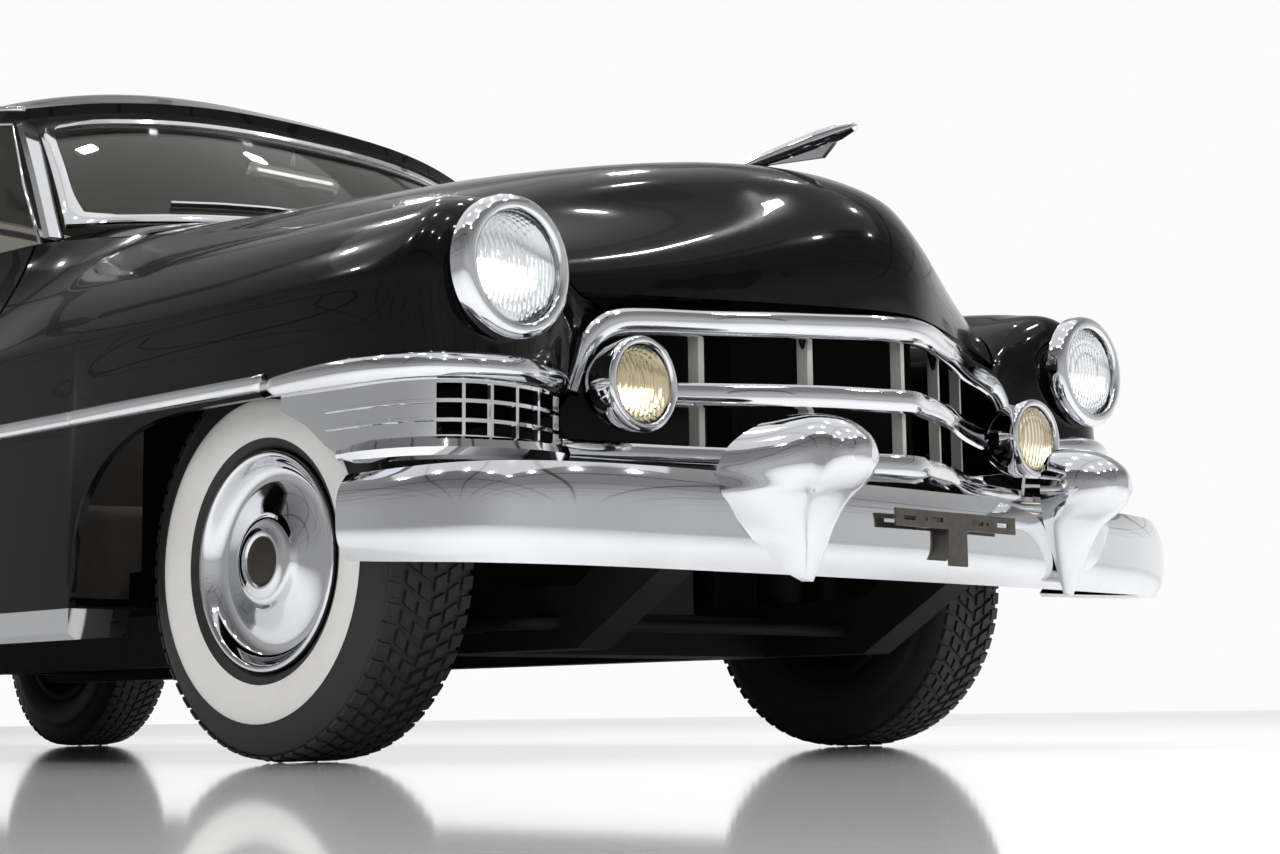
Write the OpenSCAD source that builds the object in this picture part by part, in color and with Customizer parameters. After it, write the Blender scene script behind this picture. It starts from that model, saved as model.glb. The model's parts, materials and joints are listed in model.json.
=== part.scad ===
// A full-size two-door hardtop of the early 1950s: separate body panels on a ladder frame,
// hinged hood, doors and deck lid, steered front wheels and four turning wheels.
// Millimetres. +X is the car's left, the front faces -Y, +Z is up, and z = 0 is the floor.

/* [Running gear] */
// From the front axle line back to the door
door_set = 845; // [835:1:860]
// Length of a door
door_len = 1200; // [1150:5:1250]
// From the door back to the rear axle line
quarter_set = 1155; // [1140:1:1170]
// Front axle line, measured from the middle of the car
front_axle_y = -1810; // [-1860:5:-1790]
// Half of the rear track, to the middle of the tyre
rear_half_track = 800; // [785:1:810]
// How much further in the front wheels stand than the rear ones
track_step = 43; // [38:1:50]
// Outer radius of a tyre
tyre_r = 346; // [340:1:352]
// Width of a tyre across its sidewalls
tyre_w = 220; // [205:1:228]
// Radius at which the tyre's bead sits on the rim
bead_r = 192; // [188:1:200]
// Radius of a front spindle
spindle_r = 17; // [14:0.5:22]
// Radius of a rear axle shaft
axle_shaft_r = 19; // [16:0.5:24]
// Radius of the kingpin
kingpin_r = 12; // [10:0.5:16]
// Running clearance of a pin in its bore
running_gap = 0.05; // [0.02:0.01:0.1]

/* [Body lines] */
// From the middle of a rear tyre out to the side of the body
wing_room = 185; // [178:1:195]
// Height of the crease along the side
crease_z = 775; // [765:1:785]
// Height of the fender crown line
crown_z = 906; // [898:1:914]
// Height of the belt under the side windows
belt_z = 1042; // [1034:1:1052]
// Height of the roof over the belt
roof_h = 551; // [535:1:565]
// Lower edge of the doors and quarters, above the rocker
sill_z = 284; // [278:1:292]
// Gap around every panel that opens
panel_gap = 8; // [7:0.5:10]
// Thickness of a fender or lid with its inner frame
lid_t = 14; // [10:1:18]
// Thickness of a whole door
door_t = 105; // [90:1:120]
// Thickness of the roof with its lining
roof_t = 24; // [20:1:30]
// Thickness of the window glass
glass_t = 6; // [4:0.5:8]

/* [Front end] */
// From the headlamp centre out to the side of the body
headlamp_set = 170; // [163:1:180]
// Headlamp centre height
headlamp_z = 776; // [768:1:784]
// Outer radius of the headlamp bezel
bezel_r = 117; // [112:1:120]
// Fog lamp centre, sideways
fog_x = 563; // [555:1:570]
// Fog lamp centre height
fog_z = 611; // [606:1:616]
// Outer radius of the fog lamp rim
fog_r = 80; // [74:1:84]
// Bumper bullet centre, sideways
bullet_x = 377; // [365:1:390]
// Bumper bullet centre height
bullet_z = 481; // [474:1:488]
// Largest radius of a bumper bullet
bullet_r = 77; // [72:1:80]
// Number of upright grille bars
grille_bars = 5; // [3:2:7]
// Spacing of the upright grille bars
grille_pitch = 187; // [175:1:190]
// Distance between the two plate bolts
plate_pitch = 178; // [160:1:190]
// Radius of a plate bolt hole
plate_hole_r = 3.5; // [3:0.1:4.5]

/* [Hidden] */
$fn = 48;

rear_axle_y = front_axle_y + door_set + door_len + quarter_set;
roof_z = belt_z + roof_h;
hub_z = tyre_r;
front_half_track = rear_half_track - track_step;
near_gap = 0.3;
PAINT = "#0a0a0c";
CHROME = "#d8dade";
GLASS = [0.75, 0.82, 0.82, 0.35];
RUBBER = "#17171a";
STEEL = "#3a3b3f";

// Smooth curves through tables: column 0 is the station, the other columns are read by number
function row_at(tab, v, i = 0) = (i >= len(tab) - 2 || v <= tab[i + 1][0]) ? i : row_at(tab, v, i + 1);
function slope(tab, i, c) = let(a = max(i - 1, 0), b = min(i + 1, len(tab) - 1))
    (tab[b][c] - tab[a][c]) / (tab[b][0] - tab[a][0]);
function curve(tab, v, c) = let(i = row_at(tab, v), h = tab[i + 1][0] - tab[i][0], t = (v - tab[i][0]) / h)
    (1 + 2 * t) * (1 - t) ^ 2 * tab[i][c] + t * (1 - t) ^ 2 * h * slope(tab, i, c)
    + t * t * (3 - 2 * t) * tab[i + 1][c] + t * t * (t - 1) * h * slope(tab, i + 1, c);
function point(tab, v) = [curve(tab, v, 1), curve(tab, v, 2), curve(tab, v, 3)];
function mix(a, b, t) = a + (b - a) * t;
function steps(a, b, n) = [for (i = [0:n]) mix(a, b, i / n)];
function bend(a, b, c, t) = (1 - t) ^ 2 * a + 2 * t * (1 - t) * (2 * b - (a + c) / 2) + t * t * c;
function sum(list, i = 0) = i >= len(list) ? 0 : list[i] + sum(list, i + 1);

// Faces of a solid turned so that they all point outwards
function volume6(pts, faces) = sum([for (f = faces) for (k = [1:len(f) - 2])
    pts[f[0]] * cross(pts[f[k]], pts[f[k + 1]])]);
function outward(pts, faces) = volume6(pts, faces) < 0 ? faces
    : [for (f = faces) [for (k = [len(f) - 1:-1:0]) f[k]]];

// A closed panel between an outer and an inner grid of points
module panel(outer, inner) {
    rows = len(outer);
    cols = len(outer[0]);
    n = rows * cols;
    pts = [for (grid = [outer, inner]) for (line = grid) for (p = line) p];
    skin = [for (k = [0, 1], i = [0:rows - 2], j = [0:cols - 2])
        let(a = k * n + i * cols + j, b = a + 1, c = a + cols + 1, d = a + cols)
        each k == 0 ? [[a, b, c], [a, c, d]] : [[a, c, b], [a, d, c]]];
    rim = concat(
        [for (j = [0:cols - 2]) each [[j, j + n, j + 1], [j + 1, j + n, j + n + 1]]],
        [for (j = [0:cols - 2]) let(a = (rows - 1) * cols + j)
            each [[a, a + 1, a + n], [a + 1, a + n + 1, a + n]]],
        [for (i = [0:rows - 2]) let(a = i * cols, d = a + cols) each [[a, d, a + n], [d, d + n, a + n]]],
        [for (i = [0:rows - 2]) let(a = i * cols + cols - 1, d = a + cols)
            each [[a, a + n, d], [d, a + n, d + n]]]);
    faces = concat(skin, rim);
    polyhedron(pts, outward(pts, faces), convexity = 8);
}

// A closed solid through rings of points, with flat ends
module skin(rings) {
    m = len(rings[0]);
    last = (len(rings) - 1) * m;
    pts = [for (ring = rings) for (p = ring) p];
    faces = concat(
        [for (i = [0:len(rings) - 2], j = [0:m - 1])
            let(a = i * m + j, b = i * m + (j + 1) % m)
            each [[a, b, b + m], [a, b + m, a + m]]],
        [[for (j = [m - 1:-1:0]) j]], [[for (j = [0:m - 1]) last + j]]);
    polyhedron(pts, outward(pts, faces), convexity = 8);
}

// A closed loop of rings
module hoop(rings) {
    n = len(rings);
    m = len(rings[0]);
    pts = [for (ring = rings) for (p = ring) p];
    faces = [for (i = [0:n - 1], j = [0:m - 1])
        let(a = i * m + j, b = i * m + (j + 1) % m, c = (i + 1) % n * m + (j + 1) % m,
            d = (i + 1) % n * m + j)
        each [[a, b, c], [a, c, d]]];
    polyhedron(pts, outward(pts, faces), convexity = 8);
}

// A grid of points moved along its own normals
function unit(v) = v / max(norm(v), 0.000001);
function normal_at(g, i, j) = let(
    a = g[min(i + 1, len(g) - 1)][j] - g[max(i - 1, 0)][j],
    b = g[i][min(j + 1, len(g[0]) - 1)] - g[i][max(j - 1, 0)])
    unit(cross(a, b));
function moved_grid(g, d) = [for (i = [0:len(g) - 1]) [for (j = [0:len(g[0]) - 1]) g[i][j]
    + d * normal_at(g, i, j)]];

// Both sides of the car from one module drawn for the left
module both_sides() {
    children();
    mirror([1, 0, 0]) children();
}

// Body lines of the left side, columns [station, x, y, z]: front stations bend round to the grille,
// rear stations bend round to the tail, and between them the station is the distance along the car
F = front_axle_y;
R = rear_axle_y;
W = rear_half_track + wing_room;
headlamp_x = W - headlamp_set;
door_front_y = F + door_set;
door_rear_y = door_front_y + door_len;
hood_rear_y = F + 620;
arch_top_z = 600;
arch_len = 402;
low_line = [
    [F - 900, W - 345, F - 535], [F - 800, W - 240, F - 578], [F - 700, W - 135, F - 584],
        [F - 600, W - 60, F - 543],
    [F - 440, W - 17, F - 440], [F - 200, W - 3, F - 200], [F, W, F], [door_front_y, W + 2, door_front_y],
    [0, W + 11, 0], [R - 500, W + 22, R - 500], [R, W + 29, R], [R + 500, W + 22, R + 500],
    [R + 850, W - 3, R + 850], [R + 1050, W - 25, R + 1040], [R + 1150, W - 75, R + 1135],
    [R + 1250, W - 190, R + 1188], [R + 1350, W - 325, R + 1210]
];
crease_line = [
    [F - 900, W - 372, F - 532, 690], [F - 800, W - 290, F - 564, 755], [F - 700, W - 170, F - 578, 772],
    [F - 600, W - 62, F - 537, crease_z + 3], [F - 440, W - 22, F - 440, crease_z + 3],
    [F - 200, W - 9, F - 200, crease_z + 2], [F, W - 6, F, crease_z],
        [door_front_y, W - 3, door_front_y, crease_z - 12],
    [0, W + 5, 0, crease_z - 15], [R - 500, W + 17, R - 500, crease_z - 15], [R, W + 25, R, crease_z - 12],
    [R + 500, W + 18, R + 500, crease_z], [R + 850, W - 10, R + 850, crease_z + 12],
    [R + 1050, W - 37, R + 1040, crease_z + 15], [R + 1150, W - 90, R + 1140, crease_z + 10],
    [R + 1250, W - 200, R + 1185, 735], [R + 1350, W - 330, R + 1208, 690]
];
crown_line = [
    [F - 900, W - 388, F - 532, 730], [F - 800, W - 310, F - 530, 828], [F - 700, W - 200, F - 535, 890],
    [F - 600, W - 143, F - 496, crown_z - 3], [F - 440, W - 133, F - 420, crown_z],
    [F - 200, W - 127, F - 200, crown_z], [F, W - 123, F, crown_z],
        [door_front_y, W - 107, door_front_y, crown_z],
    [0, W - 100, 0, crown_z + 2], [R - 500, W - 90, R - 500, crown_z + 8], [R, W - 85, R, crown_z + 22],
    [R + 500, W - 88, R + 500, crown_z + 44], [R + 850, W - 95, R + 850, crown_z + 60],
    [R + 1050, W - 105, R + 1025, crown_z + 64], [R + 1150, W - 130, R + 1110, crown_z + 35],
    [R + 1250, W - 220, R + 1158, 840], [R + 1350, W - 338, R + 1196, 725]
];
seam_line = [
    [F - 900, W - 395, F - 532, 757], [F - 800, W - 367, F - 500, 808], [F - 700, W - 345, F - 458, 848],
    [F - 600, W - 329, F - 395, 878], [F - 440, W - 315, F - 300, 908], [F - 200, W - 303, F - 160, 940],
    [F, W - 295, F, 967], [F + 400, W - 286, F + 400, 1014], [hood_rear_y, W - 282, hood_rear_y, belt_z],
    [door_front_y, W - 172, door_front_y, belt_z], [0, W - 168, 0, belt_z - 2],
        [R - 800, W - 185, R - 800, belt_z - 20],
    [R - 400, W - 232, R - 400, belt_z - 32], [R - 110, W - 283, R - 110, 990],
        [R + 300, W - 313, R + 300, 945],
    [R + 700, W - 333, R + 700, 872], [R + 900, W - 342, R + 880, 822], [R + 1050, W - 347, R + 1010, 772],
    [R + 1150, W - 350, R + 1090, 740], [R + 1250, W - 347, R + 1155, 714], [R + 1350, W - 340, R + 1204, 696]
];
tail_low_line = [[R + 440, sill_z - 5.6], [R + 560, 310], [R + 690, 466], [R + 900, 474], [R + 1350, 474]];

// Height of the lower edge: straight sills, open wheel arches, and the rise to the tail
rocker_top_z = sill_z - 6;
skirt_z = rocker_top_z + 0.4;
function arch_z(dy) = skirt_z + (arch_top_z - skirt_z) * (1 - min(abs(dy) / arch_len, 1) ^ 2.6) ^ (1 / 2.6);
function low_z(s) = s < F ? arch_top_z : s < F + arch_len ? arch_z(s - F)
    : s < R - arch_len ? (s > door_front_y - 1 && s < door_rear_y + 1 ? sill_z : skirt_z)
    : s < R + arch_len ? arch_z(s - R) : s < R + 440 ? skirt_z : curve(tail_low_line, s, 1);
function low_point(s) = [curve(low_line, s, 1), curve(low_line, s, 2), low_z(s)];

// A point of the side: t runs 0 lower edge, 1 crease, 2 seam, over the crown at 1.5
function side_point(s, t) = t <= 1
    ? mix(low_point(s), point(crease_line, s), t) + [24 * t * (1 - t) * (s > F - 500 && s < R + 1000 ? 1
        : 0), 0, 0]
    : bend(point(crease_line, s), point(crown_line, s), point(seam_line, s), t - 1);
side_t = [0, 0.3, 0.62, 0.88, 1, 1.14, 1.3, 1.46, 1.62, 1.8, 2];
function side_inner(g, stations) = let(last = len(g[0]) - 1) [for (i = [0:len(g) - 1]) [for (j = [0:last])
    let(
    n = normal_at(g, i, j), along = stations[i] > F - 420 && stations[i] < R + 900 ? 0 : n[1],
    d = j == last && stations[i] > F - 700 ? [0, 0, 1] : unit([n[0], along, j == 0 ? 0 : n[2]]))
    g[i][j] - lid_t * d]];
function side_grid(stations) = [for (s = stations) [for (t = side_t) side_point(s, t)]];
function arch_steps(c, from, to, n) = [for (k = [0:n]) c + arch_len * sin(mix(from, to, k / n))];

fender_stations = concat(
    steps(F - 900, F - 520, 8), [F - 440, F - 320, F - 200, F - 90], arch_steps(F, 0, 90, 7),
    [F + 500, hood_rear_y, F + 720, door_front_y - 10]);
quarter_stations = concat(
    [door_rear_y + panel_gap, R - 950, R - 700, R - 520], arch_steps(R, -90, 90, 10),
    [R + 440, R + 500, R + 560, R + 620, R + 690, R + 800, R + 900], steps(R + 1000, R + 1350, 6));

module fender(side) {
    grid = side_grid(fender_stations);
    color(PAINT) scale([side, 1, 1]) panel(grid, side_inner(grid, fender_stations));
}
module fender_l() fender(1);
module fender_r() fender(-1);

module quarter(side) {
    grid = side_grid(quarter_stations);
    color(PAINT) scale([side, 1, 1]) panel(grid, side_inner(grid, quarter_stations));
}
module quarter_l() quarter(1);
module quarter_r() quarter(-1);

// Doors: the whole thickness, with the shut face at the rear cut back so that it clears while swinging
door_shut_taper = 42;
door_stations = steps(door_front_y, door_rear_y, 8);
module door(side) {
    grid = side_grid(door_stations);
    inner = [for (i = [0:8]) [for (p = grid[i])
        p + [-door_t, i == 8 ? -door_shut_taper : i == 7 ? -door_shut_taper / 2 : 0, 0]]];
    color(PAINT) scale([side, 1, 1]) panel(grid, inner);
}
module door_l() door(1);
module door_r() door(-1);

// Lids: columns [station, y of the middle, z of the middle, station of the edge on the seam line,
// roundness in plan]
hood_rows = [
    [0, F - 748, 780, F - 862, 0.15], [1, F - 757, 835, F - 745, 0.15], [2, F - 738, 912, F - 565, 0.2],
    [3, F - 688, 988, F - 330, 0.25], [4, F - 598, 1050, F - 190, 0.5], [5, F - 440, 1099, F - 20, 0.7],
    [6, F - 90, 1136, F + 160, 1], [7, F + 300, 1150, F + 370, 1], [8, F + 612, 1152, hood_rear_y - 4, 1]
];
deck_rows = [
    [0, R - 140, 1056, R - 116, 1], [1, R + 120, 1046, R + 150, 1], [2, R + 500, 990, R + 510, 1],
    [3, R + 800, 908, R + 790, 1], [4, R + 1040, 812, R + 985, 1], [5, R + 1165, 750, R + 1130, 1],
    [6, R + 1228, 698, R + 1345, 1]
];
function prow_share(a, e) = (sqrt(a * a + e * e) - e) / (sqrt(1 + e * e) - e);
function lid_point(rows, v, u) = let(
    e = point(seam_line, curve(rows, v, 3)), y = curve(rows, v, 1), z = curve(rows, v, 2), a = abs(u))
    [u * (e[0] - panel_gap), mix(y, e[1], prow_share(a, curve(rows, v, 4))), mix(z, e[2], a ^ 2.3)];
function lid_grid(rows, n, m) = [for (v = steps(0, len(rows) - 1, n)) [for (u = steps(-1, 1, m))
    lid_point(rows, v, u)]];

module hood() {
    grid = lid_grid(hood_rows, 16, 18);
    color(PAINT) panel(grid, moved_grid(grid, lid_t));
}
module deck_lid() {
    grid = lid_grid(deck_rows, 12, 14);
    color(PAINT) panel(grid, moved_grid(grid, lid_t));
}

// Cowl, windshield, roof and rear window, each between two edge curves
function windshield_base(u) = let(a = abs(u)) [u * (W - 218), F + 672 + 128 * a ^ 2.6, 1136 - 56 * a ^ 2];
function windshield_head(u) = let(a = abs(u)) [u * (W - 350), F + 1022 + 128 * a ^ 3,
    roof_z - 158 - 50 * a ^ 2.4];
function pane_point(a, b, t, bulge) = mix(a, b, t) + [0, 0, bulge * 4 * t * (1 - t)];
module windshield() {
    grid = [for (t = steps(0, 1, 4)) [for (u = steps(-1, 1, 14))
        pane_point(windshield_base(u), windshield_head(u), t, 14)]];
    color(GLASS) panel(grid, moved_grid(grid, glass_t));
}

module cowl() {
    shut = panel_gap + 6;
    us = steps(-1, 1, 14);
    seam_x = [for (s = fender_stations) let(p = side_point(s, 2)) [p[1], p[0]]];
    seam_z = [for (s = fender_stations) let(p = side_point(s, 2)) [p[1], p[2]]];
    front = [for (u = us) lid_point(hood_rows, 8, u) + [u, shut, 0]];
    back = [for (u = us) windshield_base(u) + [u * 33, 36 * abs(u) ^ 12 - 0.5, -0.5 - 35 * abs(u) ^ 6]];
    grid = [for (t = steps(0, 1, 4)) let(
        corner = mix(front[14], back[14], t),
        y = mix(hood_rear_y + shut, back[14][1], t), edge = [lookup(y, seam_x) - 2, y, lookup(y, seam_z)])
        [for (j = [0:14]) mix(front[j], back[j], t)
            + abs(us[j]) ^ 5 * [sign(us[j]) * (edge[0] - corner[0]), 0, edge[2] - corner[2]]]];
    color(PAINT) panel(grid, moved_grid(grid, lid_t));
}

// Roof: columns [station, y of the middle, z of the middle, half width, y of the edge, z of the edge]
roof_rows = [
    [0, F + 1012, roof_z - 118, W - 317, F + 1140, roof_z - 178],
        [1, F + 1250, roof_z - 38, W - 308, F + 1330, roof_z - 148],
    [2, -140, roof_z, W - 302, -140, roof_z - 136], [3, R - 1000, roof_z - 8, W - 312, R - 1000,
        roof_z - 150],
    [4, R - 690, roof_z - 72, W - 345, R - 790, roof_z - 186]
];
function roof_point(v, u) = let(a = abs(u))
    [u * curve(roof_rows, v, 3), mix(curve(roof_rows, v, 1), curve(roof_rows, v, 4), a ^ 2.6),
        mix(curve(roof_rows, v, 2), curve(roof_rows, v, 5), a ^ 2.6)];
module roof() {
    grid = [for (v = steps(0, 4, 10)) [for (u = steps(-1, 1, 16)) roof_point(v, u)]];
    color(PAINT) panel(grid, [for (line = grid) [for (p = line) p - [0, 0, roof_t]]]);
}

function backlight_head(u) = let(a = abs(u)) [u * (W - 402), R - 702 - 78 * a ^ 2.6,
    roof_z - 70 - roof_t - 94 * a ^ 2.6];
function backlight_base(u) = let(a = abs(u)) [u * (W - 316), R - 205 - 118 * a ^ 3, 1066 - 48 * a ^ 2.4];
module rear_window() {
    grid = [for (t = steps(0, 1, 4)) [for (u = steps(-1, 1, 14))
        pane_point(backlight_base(u), backlight_head(u), t, 34)]];
    color(GLASS) panel(grid, moved_grid(grid, -glass_t));
}

// Deck panel between the rear window and the lid
module rear_cowl() {
    us = steps(-1, 1, 14);
    front = [for (u = us) backlight_base(u) + [u * 6, 0.5, -0.5]];
    back = [for (u = us) lid_point(deck_rows, 0, u) - [0, panel_gap + 6, 0]];
    grid = [for (t = steps(0, 1, 4)) let(
        corner = mix(front[14], back[14], t), edge = point(seam_line, corner[1]) - [1, 0, 0])
        [for (j = [0:14]) mix(front[j], back[j], t)
            + abs(us[j]) ^ 5 * [sign(us[j]) * (edge[0] - corner[0]), 0, edge[2] - corner[2]]]];
    color(PAINT) panel(grid, moved_grid(grid, lid_t));
}

// Windshield pillars and the panels that carry the roof behind the side windows
pillar_w = 34;
module pillars() {
    foot = windshield_base(1) + [0.8, 3, -24.2];
    head = windshield_head(1) + [-1.6, 7, 9];
    sail_low = [R - 620, R - 332];
    sail_high = [2.75, 4];
    color(PAINT) both_sides() {
        skin([for (t = [0, 0.5, 1]) let(p = pane_point(foot, head, t, 8))
            [p, p + [pillar_w - 4, 8, 0], p + [pillar_w - 4, 30, 0], p + [0, 26, 0]]]);
        grid = [for (t = steps(0, 1, 5)) [for (k = steps(0, 1, 5)) let(
            a = point(seam_line, mix(sail_low[0], sail_low[1], k)) + [-1.3, 0, -8],
            b = roof_point(mix(sail_high[0], sail_high[1], k), 1) - [6, 0, roof_t])
            mix(a, b, t) + [10 * sin(180 * t), 0, 0]]];
        panel(grid, [for (line = grid) [for (p = line) p - [24, 0, 0]]]);
    }
}

// Side glass: stands on the belt and leans in to the roof edge
function glass_foot(y, lift) = point(seam_line, y) + [-52, 0, lift];
function glass_grid(y0, y1, top0, top1, lift) = [for (t = [0, 0.5, 1]) [for (k = steps(0, 1, 6)) let(
    a = glass_foot(mix(y0, y1, k), lift), v = mix(top0, top1, k),
    b = roof_point(v, 1) - [8, 0, roof_t + 9])
    mix(a, b, t) + [8 * sin(180 * t), 0, 0]]];
module side_pane(y0, y1, top0, top1, side, lift = 3) {
    grid = glass_grid(y0, y1, top0, top1, lift);
    color(GLASS) scale([side, 1, 1]) panel(grid, [for (line = grid) [for (p = line) p - [glass_t, 0, 0]]]);
}
module door_glass_l() side_pane(door_front_y + 48, door_rear_y - 4, 0.33, 2.42, 1, 0.6);
module door_glass_r() side_pane(door_front_y + 48, door_rear_y - 4, 0.33, 2.42, -1, 0.6);
module quarter_glass() {
    side_pane(door_rear_y + 12, R - 622.6, 2.45, 2.756, 1);
    side_pane(door_rear_y + 12, R - 622.6, 2.45, 2.756, -1);
}

// Bright frames on the edges of the windshield and the rear window, laid over the facets of the glass
frame_w = 26;
function pane_corner(end, i, j) = end < 0
    ? pane_point(windshield_base(j / 7 - 1), windshield_head(j / 7 - 1), i / 4, 14)
    : pane_point(backlight_base(j / 7 - 1), backlight_head(j / 7 - 1), i / 4, 34);
function pane_at(end, u, t) = let(j = max(0, min(floor((u + 1) * 7), 13)), i = max(0, min(floor(t * 4), 3)))
    mix(mix(pane_corner(end, i, j), pane_corner(end, i, j + 1), (u + 1) * 7 - j),
        mix(pane_corner(end, i + 1, j), pane_corner(end, i + 1, j + 1), (u + 1) * 7 - j), t * 4 - i);
function pane_out(end, u, t) = end * unit(cross(pane_at(end, u, t + 0.05) - pane_at(end, u, t - 0.05),
    pane_at(end, u + 0.05, t) - pane_at(end, u - 0.05, t)));
function pane_lift(end, p, d) = pane_at(end, p[0], p[1]) + d * pane_out(end, p[0], p[1]);
module pane_frame(end, top) {
    du = frame_w / pane_at(end, 1, 0.5)[0];
    dt = frame_w / norm(pane_at(end, 0, 1) - pane_at(end, 0, 0));
    loop = concat([for (u = steps(-1, 1, 14)) [u, 0]], [for (t = [0.25, 0.5, 0.75]) [1, t]],
        [for (u = steps(1, -1, 14)) [u, top]], [for (t = [0.75, 0.5, 0.25]) [-1, t]]);
    color(CHROME) hoop([for (edge = loop) let(
        low = edge[1] == 0, high = edge[1] == top, corner = abs(edge[0]) == 1 && (low || high),
        in_t = low ? dt : high ? top - dt : edge[1],
        in_u = max(-1 + du, min(1 - du, edge[0])),
        inner = corner ? [in_u * 0.985, in_t + (low ? 0.03 : -0.03)] : [in_u, in_t],
            middle = mix(edge, inner, 0.5))
        [pane_lift(end, edge, pane_seat), pane_lift(end, edge, 5), pane_lift(end, middle, 10),
            pane_lift(end, inner, 6), pane_lift(end, inner, pane_seat)]]);
}
pane_seat = 1;
module window_frames() {
    pane_frame(-1, 1);
    pane_frame(1, 0.95);
}

// Inside mirror on a stalk from the roof
mirror_len = 270;
mirror_at = [0, F + 1062, roof_z - 236];
module mirror_bar() {
    roof_under = curve([for (row = roof_rows) [row[1], row[2]]], mirror_at[1], 1) - roof_t;
    face = [[-14, -27], [8, -27], [13, -18], [13, 18], [8, 27], [-14, 27]];
    color(CHROME) translate(mirror_at) union() {
        translate([-mirror_len / 2, 0, 0]) rotate([90, 0, 90]) linear_extrude(mirror_len) polygon(face);
        translate([0, 0, 20]) cylinder(h = roof_under - mirror_at[2] - 21.2, r = 6);
    }
}

// Wipers: a blade on the glass and an arm from its pivot on the cowl
wiper_u = 0.36;
module wipers() {
    foot = windshield_base(wiper_u) + [0, -32, 8.8];
    blade = [for (j = [8:12]) [for (c = [[0.09, 0.7], [0.105, 0.7], [0.105, 11], [0.09, 11]])
        pane_lift(-1, [j / 7 - 1, c[0] + 0.003 * j], c[1])]];
    tip = pane_lift(-1, [wiper_u, 0.13], 9);
    arm = [for (p = [foot + [0, 0, 17], mix(foot + [0, 0, 24], tip, 0.5), tip])
        [for (a = [45:90:315]) p + [7 * cos(a), 0, 5 * sin(a)]]];
    color(CHROME) both_sides() union() {
        skin(blade);
        skin(arm);
        translate(foot) cylinder(h = 21, r = 11);
    }
}

// Tail panel under the lid
module tail_panel() {
    grid = [for (t = steps(0, 1, 3)) [for (u = steps(-1, 1, 12)) let(
        e = side_point(R + 1350, 1 - t) + [-1 - 11 * (1 - t) ^ 2, 4, -5 * (1 - t)])
        [u * e[0], e[1] + 26 * (1 - abs(u) ^ 2.4), e[2]]]];
    back = moved_grid(grid, lid_t);
    lip = moved_grid(lid_grid(deck_rows, 12, 14), lid_t)[12][7];
    color(PAINT) panel(grid, back);
    color(STEEL) translate([-30, lip[1] - 20, lip[2] - 80]) cube([60, back[0][6][1] - lip[1] + 19.4, 79.4]);
}

// Rocker beams under the doors
module rockers() {
    profile = [[W - 132 + near_gap, 230], [W - 16, 222], [W - 0.8, 234], [W - 0.8, rocker_top_z],
        [W - 132 + near_gap, rocker_top_z]];
    color(CHROME) both_sides() translate([0, R - arch_len - 4, 0]) rotate([90, 0, 0])
        linear_extrude(R - F - 2 * arch_len - 8) polygon(profile);
}

// Bumpers: columns [station, x, y]
wide = W / 985;
front_bar = [for (p = [[0, 0, 830], [1, 300, 822], [2, 560, 804], [3, 760, 774], [4, 900, 714], [5, 966, 628],
    [6, 988, 510], [7, 990, 376]]) [p[0], p[1] * wide, F - p[2]]];
rear_bar = [for (p = [[0, 0, 1352], [1, 300, 1344], [2, 560, 1325], [3, 760, 1291], [4, 900, 1228],
    [5, 970, 1130], [6, 1006, 960], [7, 1018, 720]]) [p[0], p[1] * wide, R + p[2]]];
bar_t = 12;
function bar_y(tab, x) = curve([for (row = tab) [row[1], row[2]]], x, 1);

// Ladder frame
rail_x = rear_half_track - 440;
rail_w = 80;
rail_low = 190;
rail_top = 300;
horn_top = 410;
kick_z = 430;
module frame_rails() {
    nose_y = bar_y(front_bar, rail_x + rail_w) + bar_t + 3.6;
    tail_y = bar_y(rear_bar, rail_x + rail_w) - bar_t - 3.6;
    side = [
        [nose_y, 340], [F - 560, 320], [F - 350, rail_low], [R - 500, rail_low], [R - 240, kick_z],
            [R + 300, kick_z],
        [R + 620, kick_z - 90], [tail_y, kick_z - 90], [tail_y, kick_z - 30], [R + 1120, kick_z + 10],
            [R + 620, kick_z + 10],
        [R + 330, kick_z + 100], [R - 290, kick_z + 100], [R - 540, rail_top], [F - 350, rail_top],
            [F - 520, horn_top],
        [nose_y, horn_top]
    ];
    color(STEEL) both_sides() translate([rail_x, 0, 0]) rotate([90, 0, 90]) linear_extrude(rail_w)
        polygon(side);
}
cross_w = 2 * rail_x;
module frame_cross() {
    color(STEEL) for (c = [[F - 90, rail_low, 180, 80], [F + 950, rail_low + 20, 90, 70],
        [R - 760, rail_low + 20, 90, 70],
        [R + 180, kick_z + 20, 120, 60], [R + 1000, kick_z - 80, 80, 70]])
        translate([-rail_x, c[0], c[1]]) cube([cross_w, c[2], c[3]]);
}

floor_t = 16;
// Posts that carry the door hinges, standing on the rockers
module hinge_posts() {
    post_x = W - 128;
    post_y = door_front_y - 70;
    color(PAINT) both_sides() union() {
        translate([post_x, post_y, rocker_top_z + near_gap]) cube([66, 63, 500]);
        for (z = [400, 690]) translate([post_x + 22, post_y + 50, z]) cube([40, 19.5, 64]);
    }
}

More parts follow.
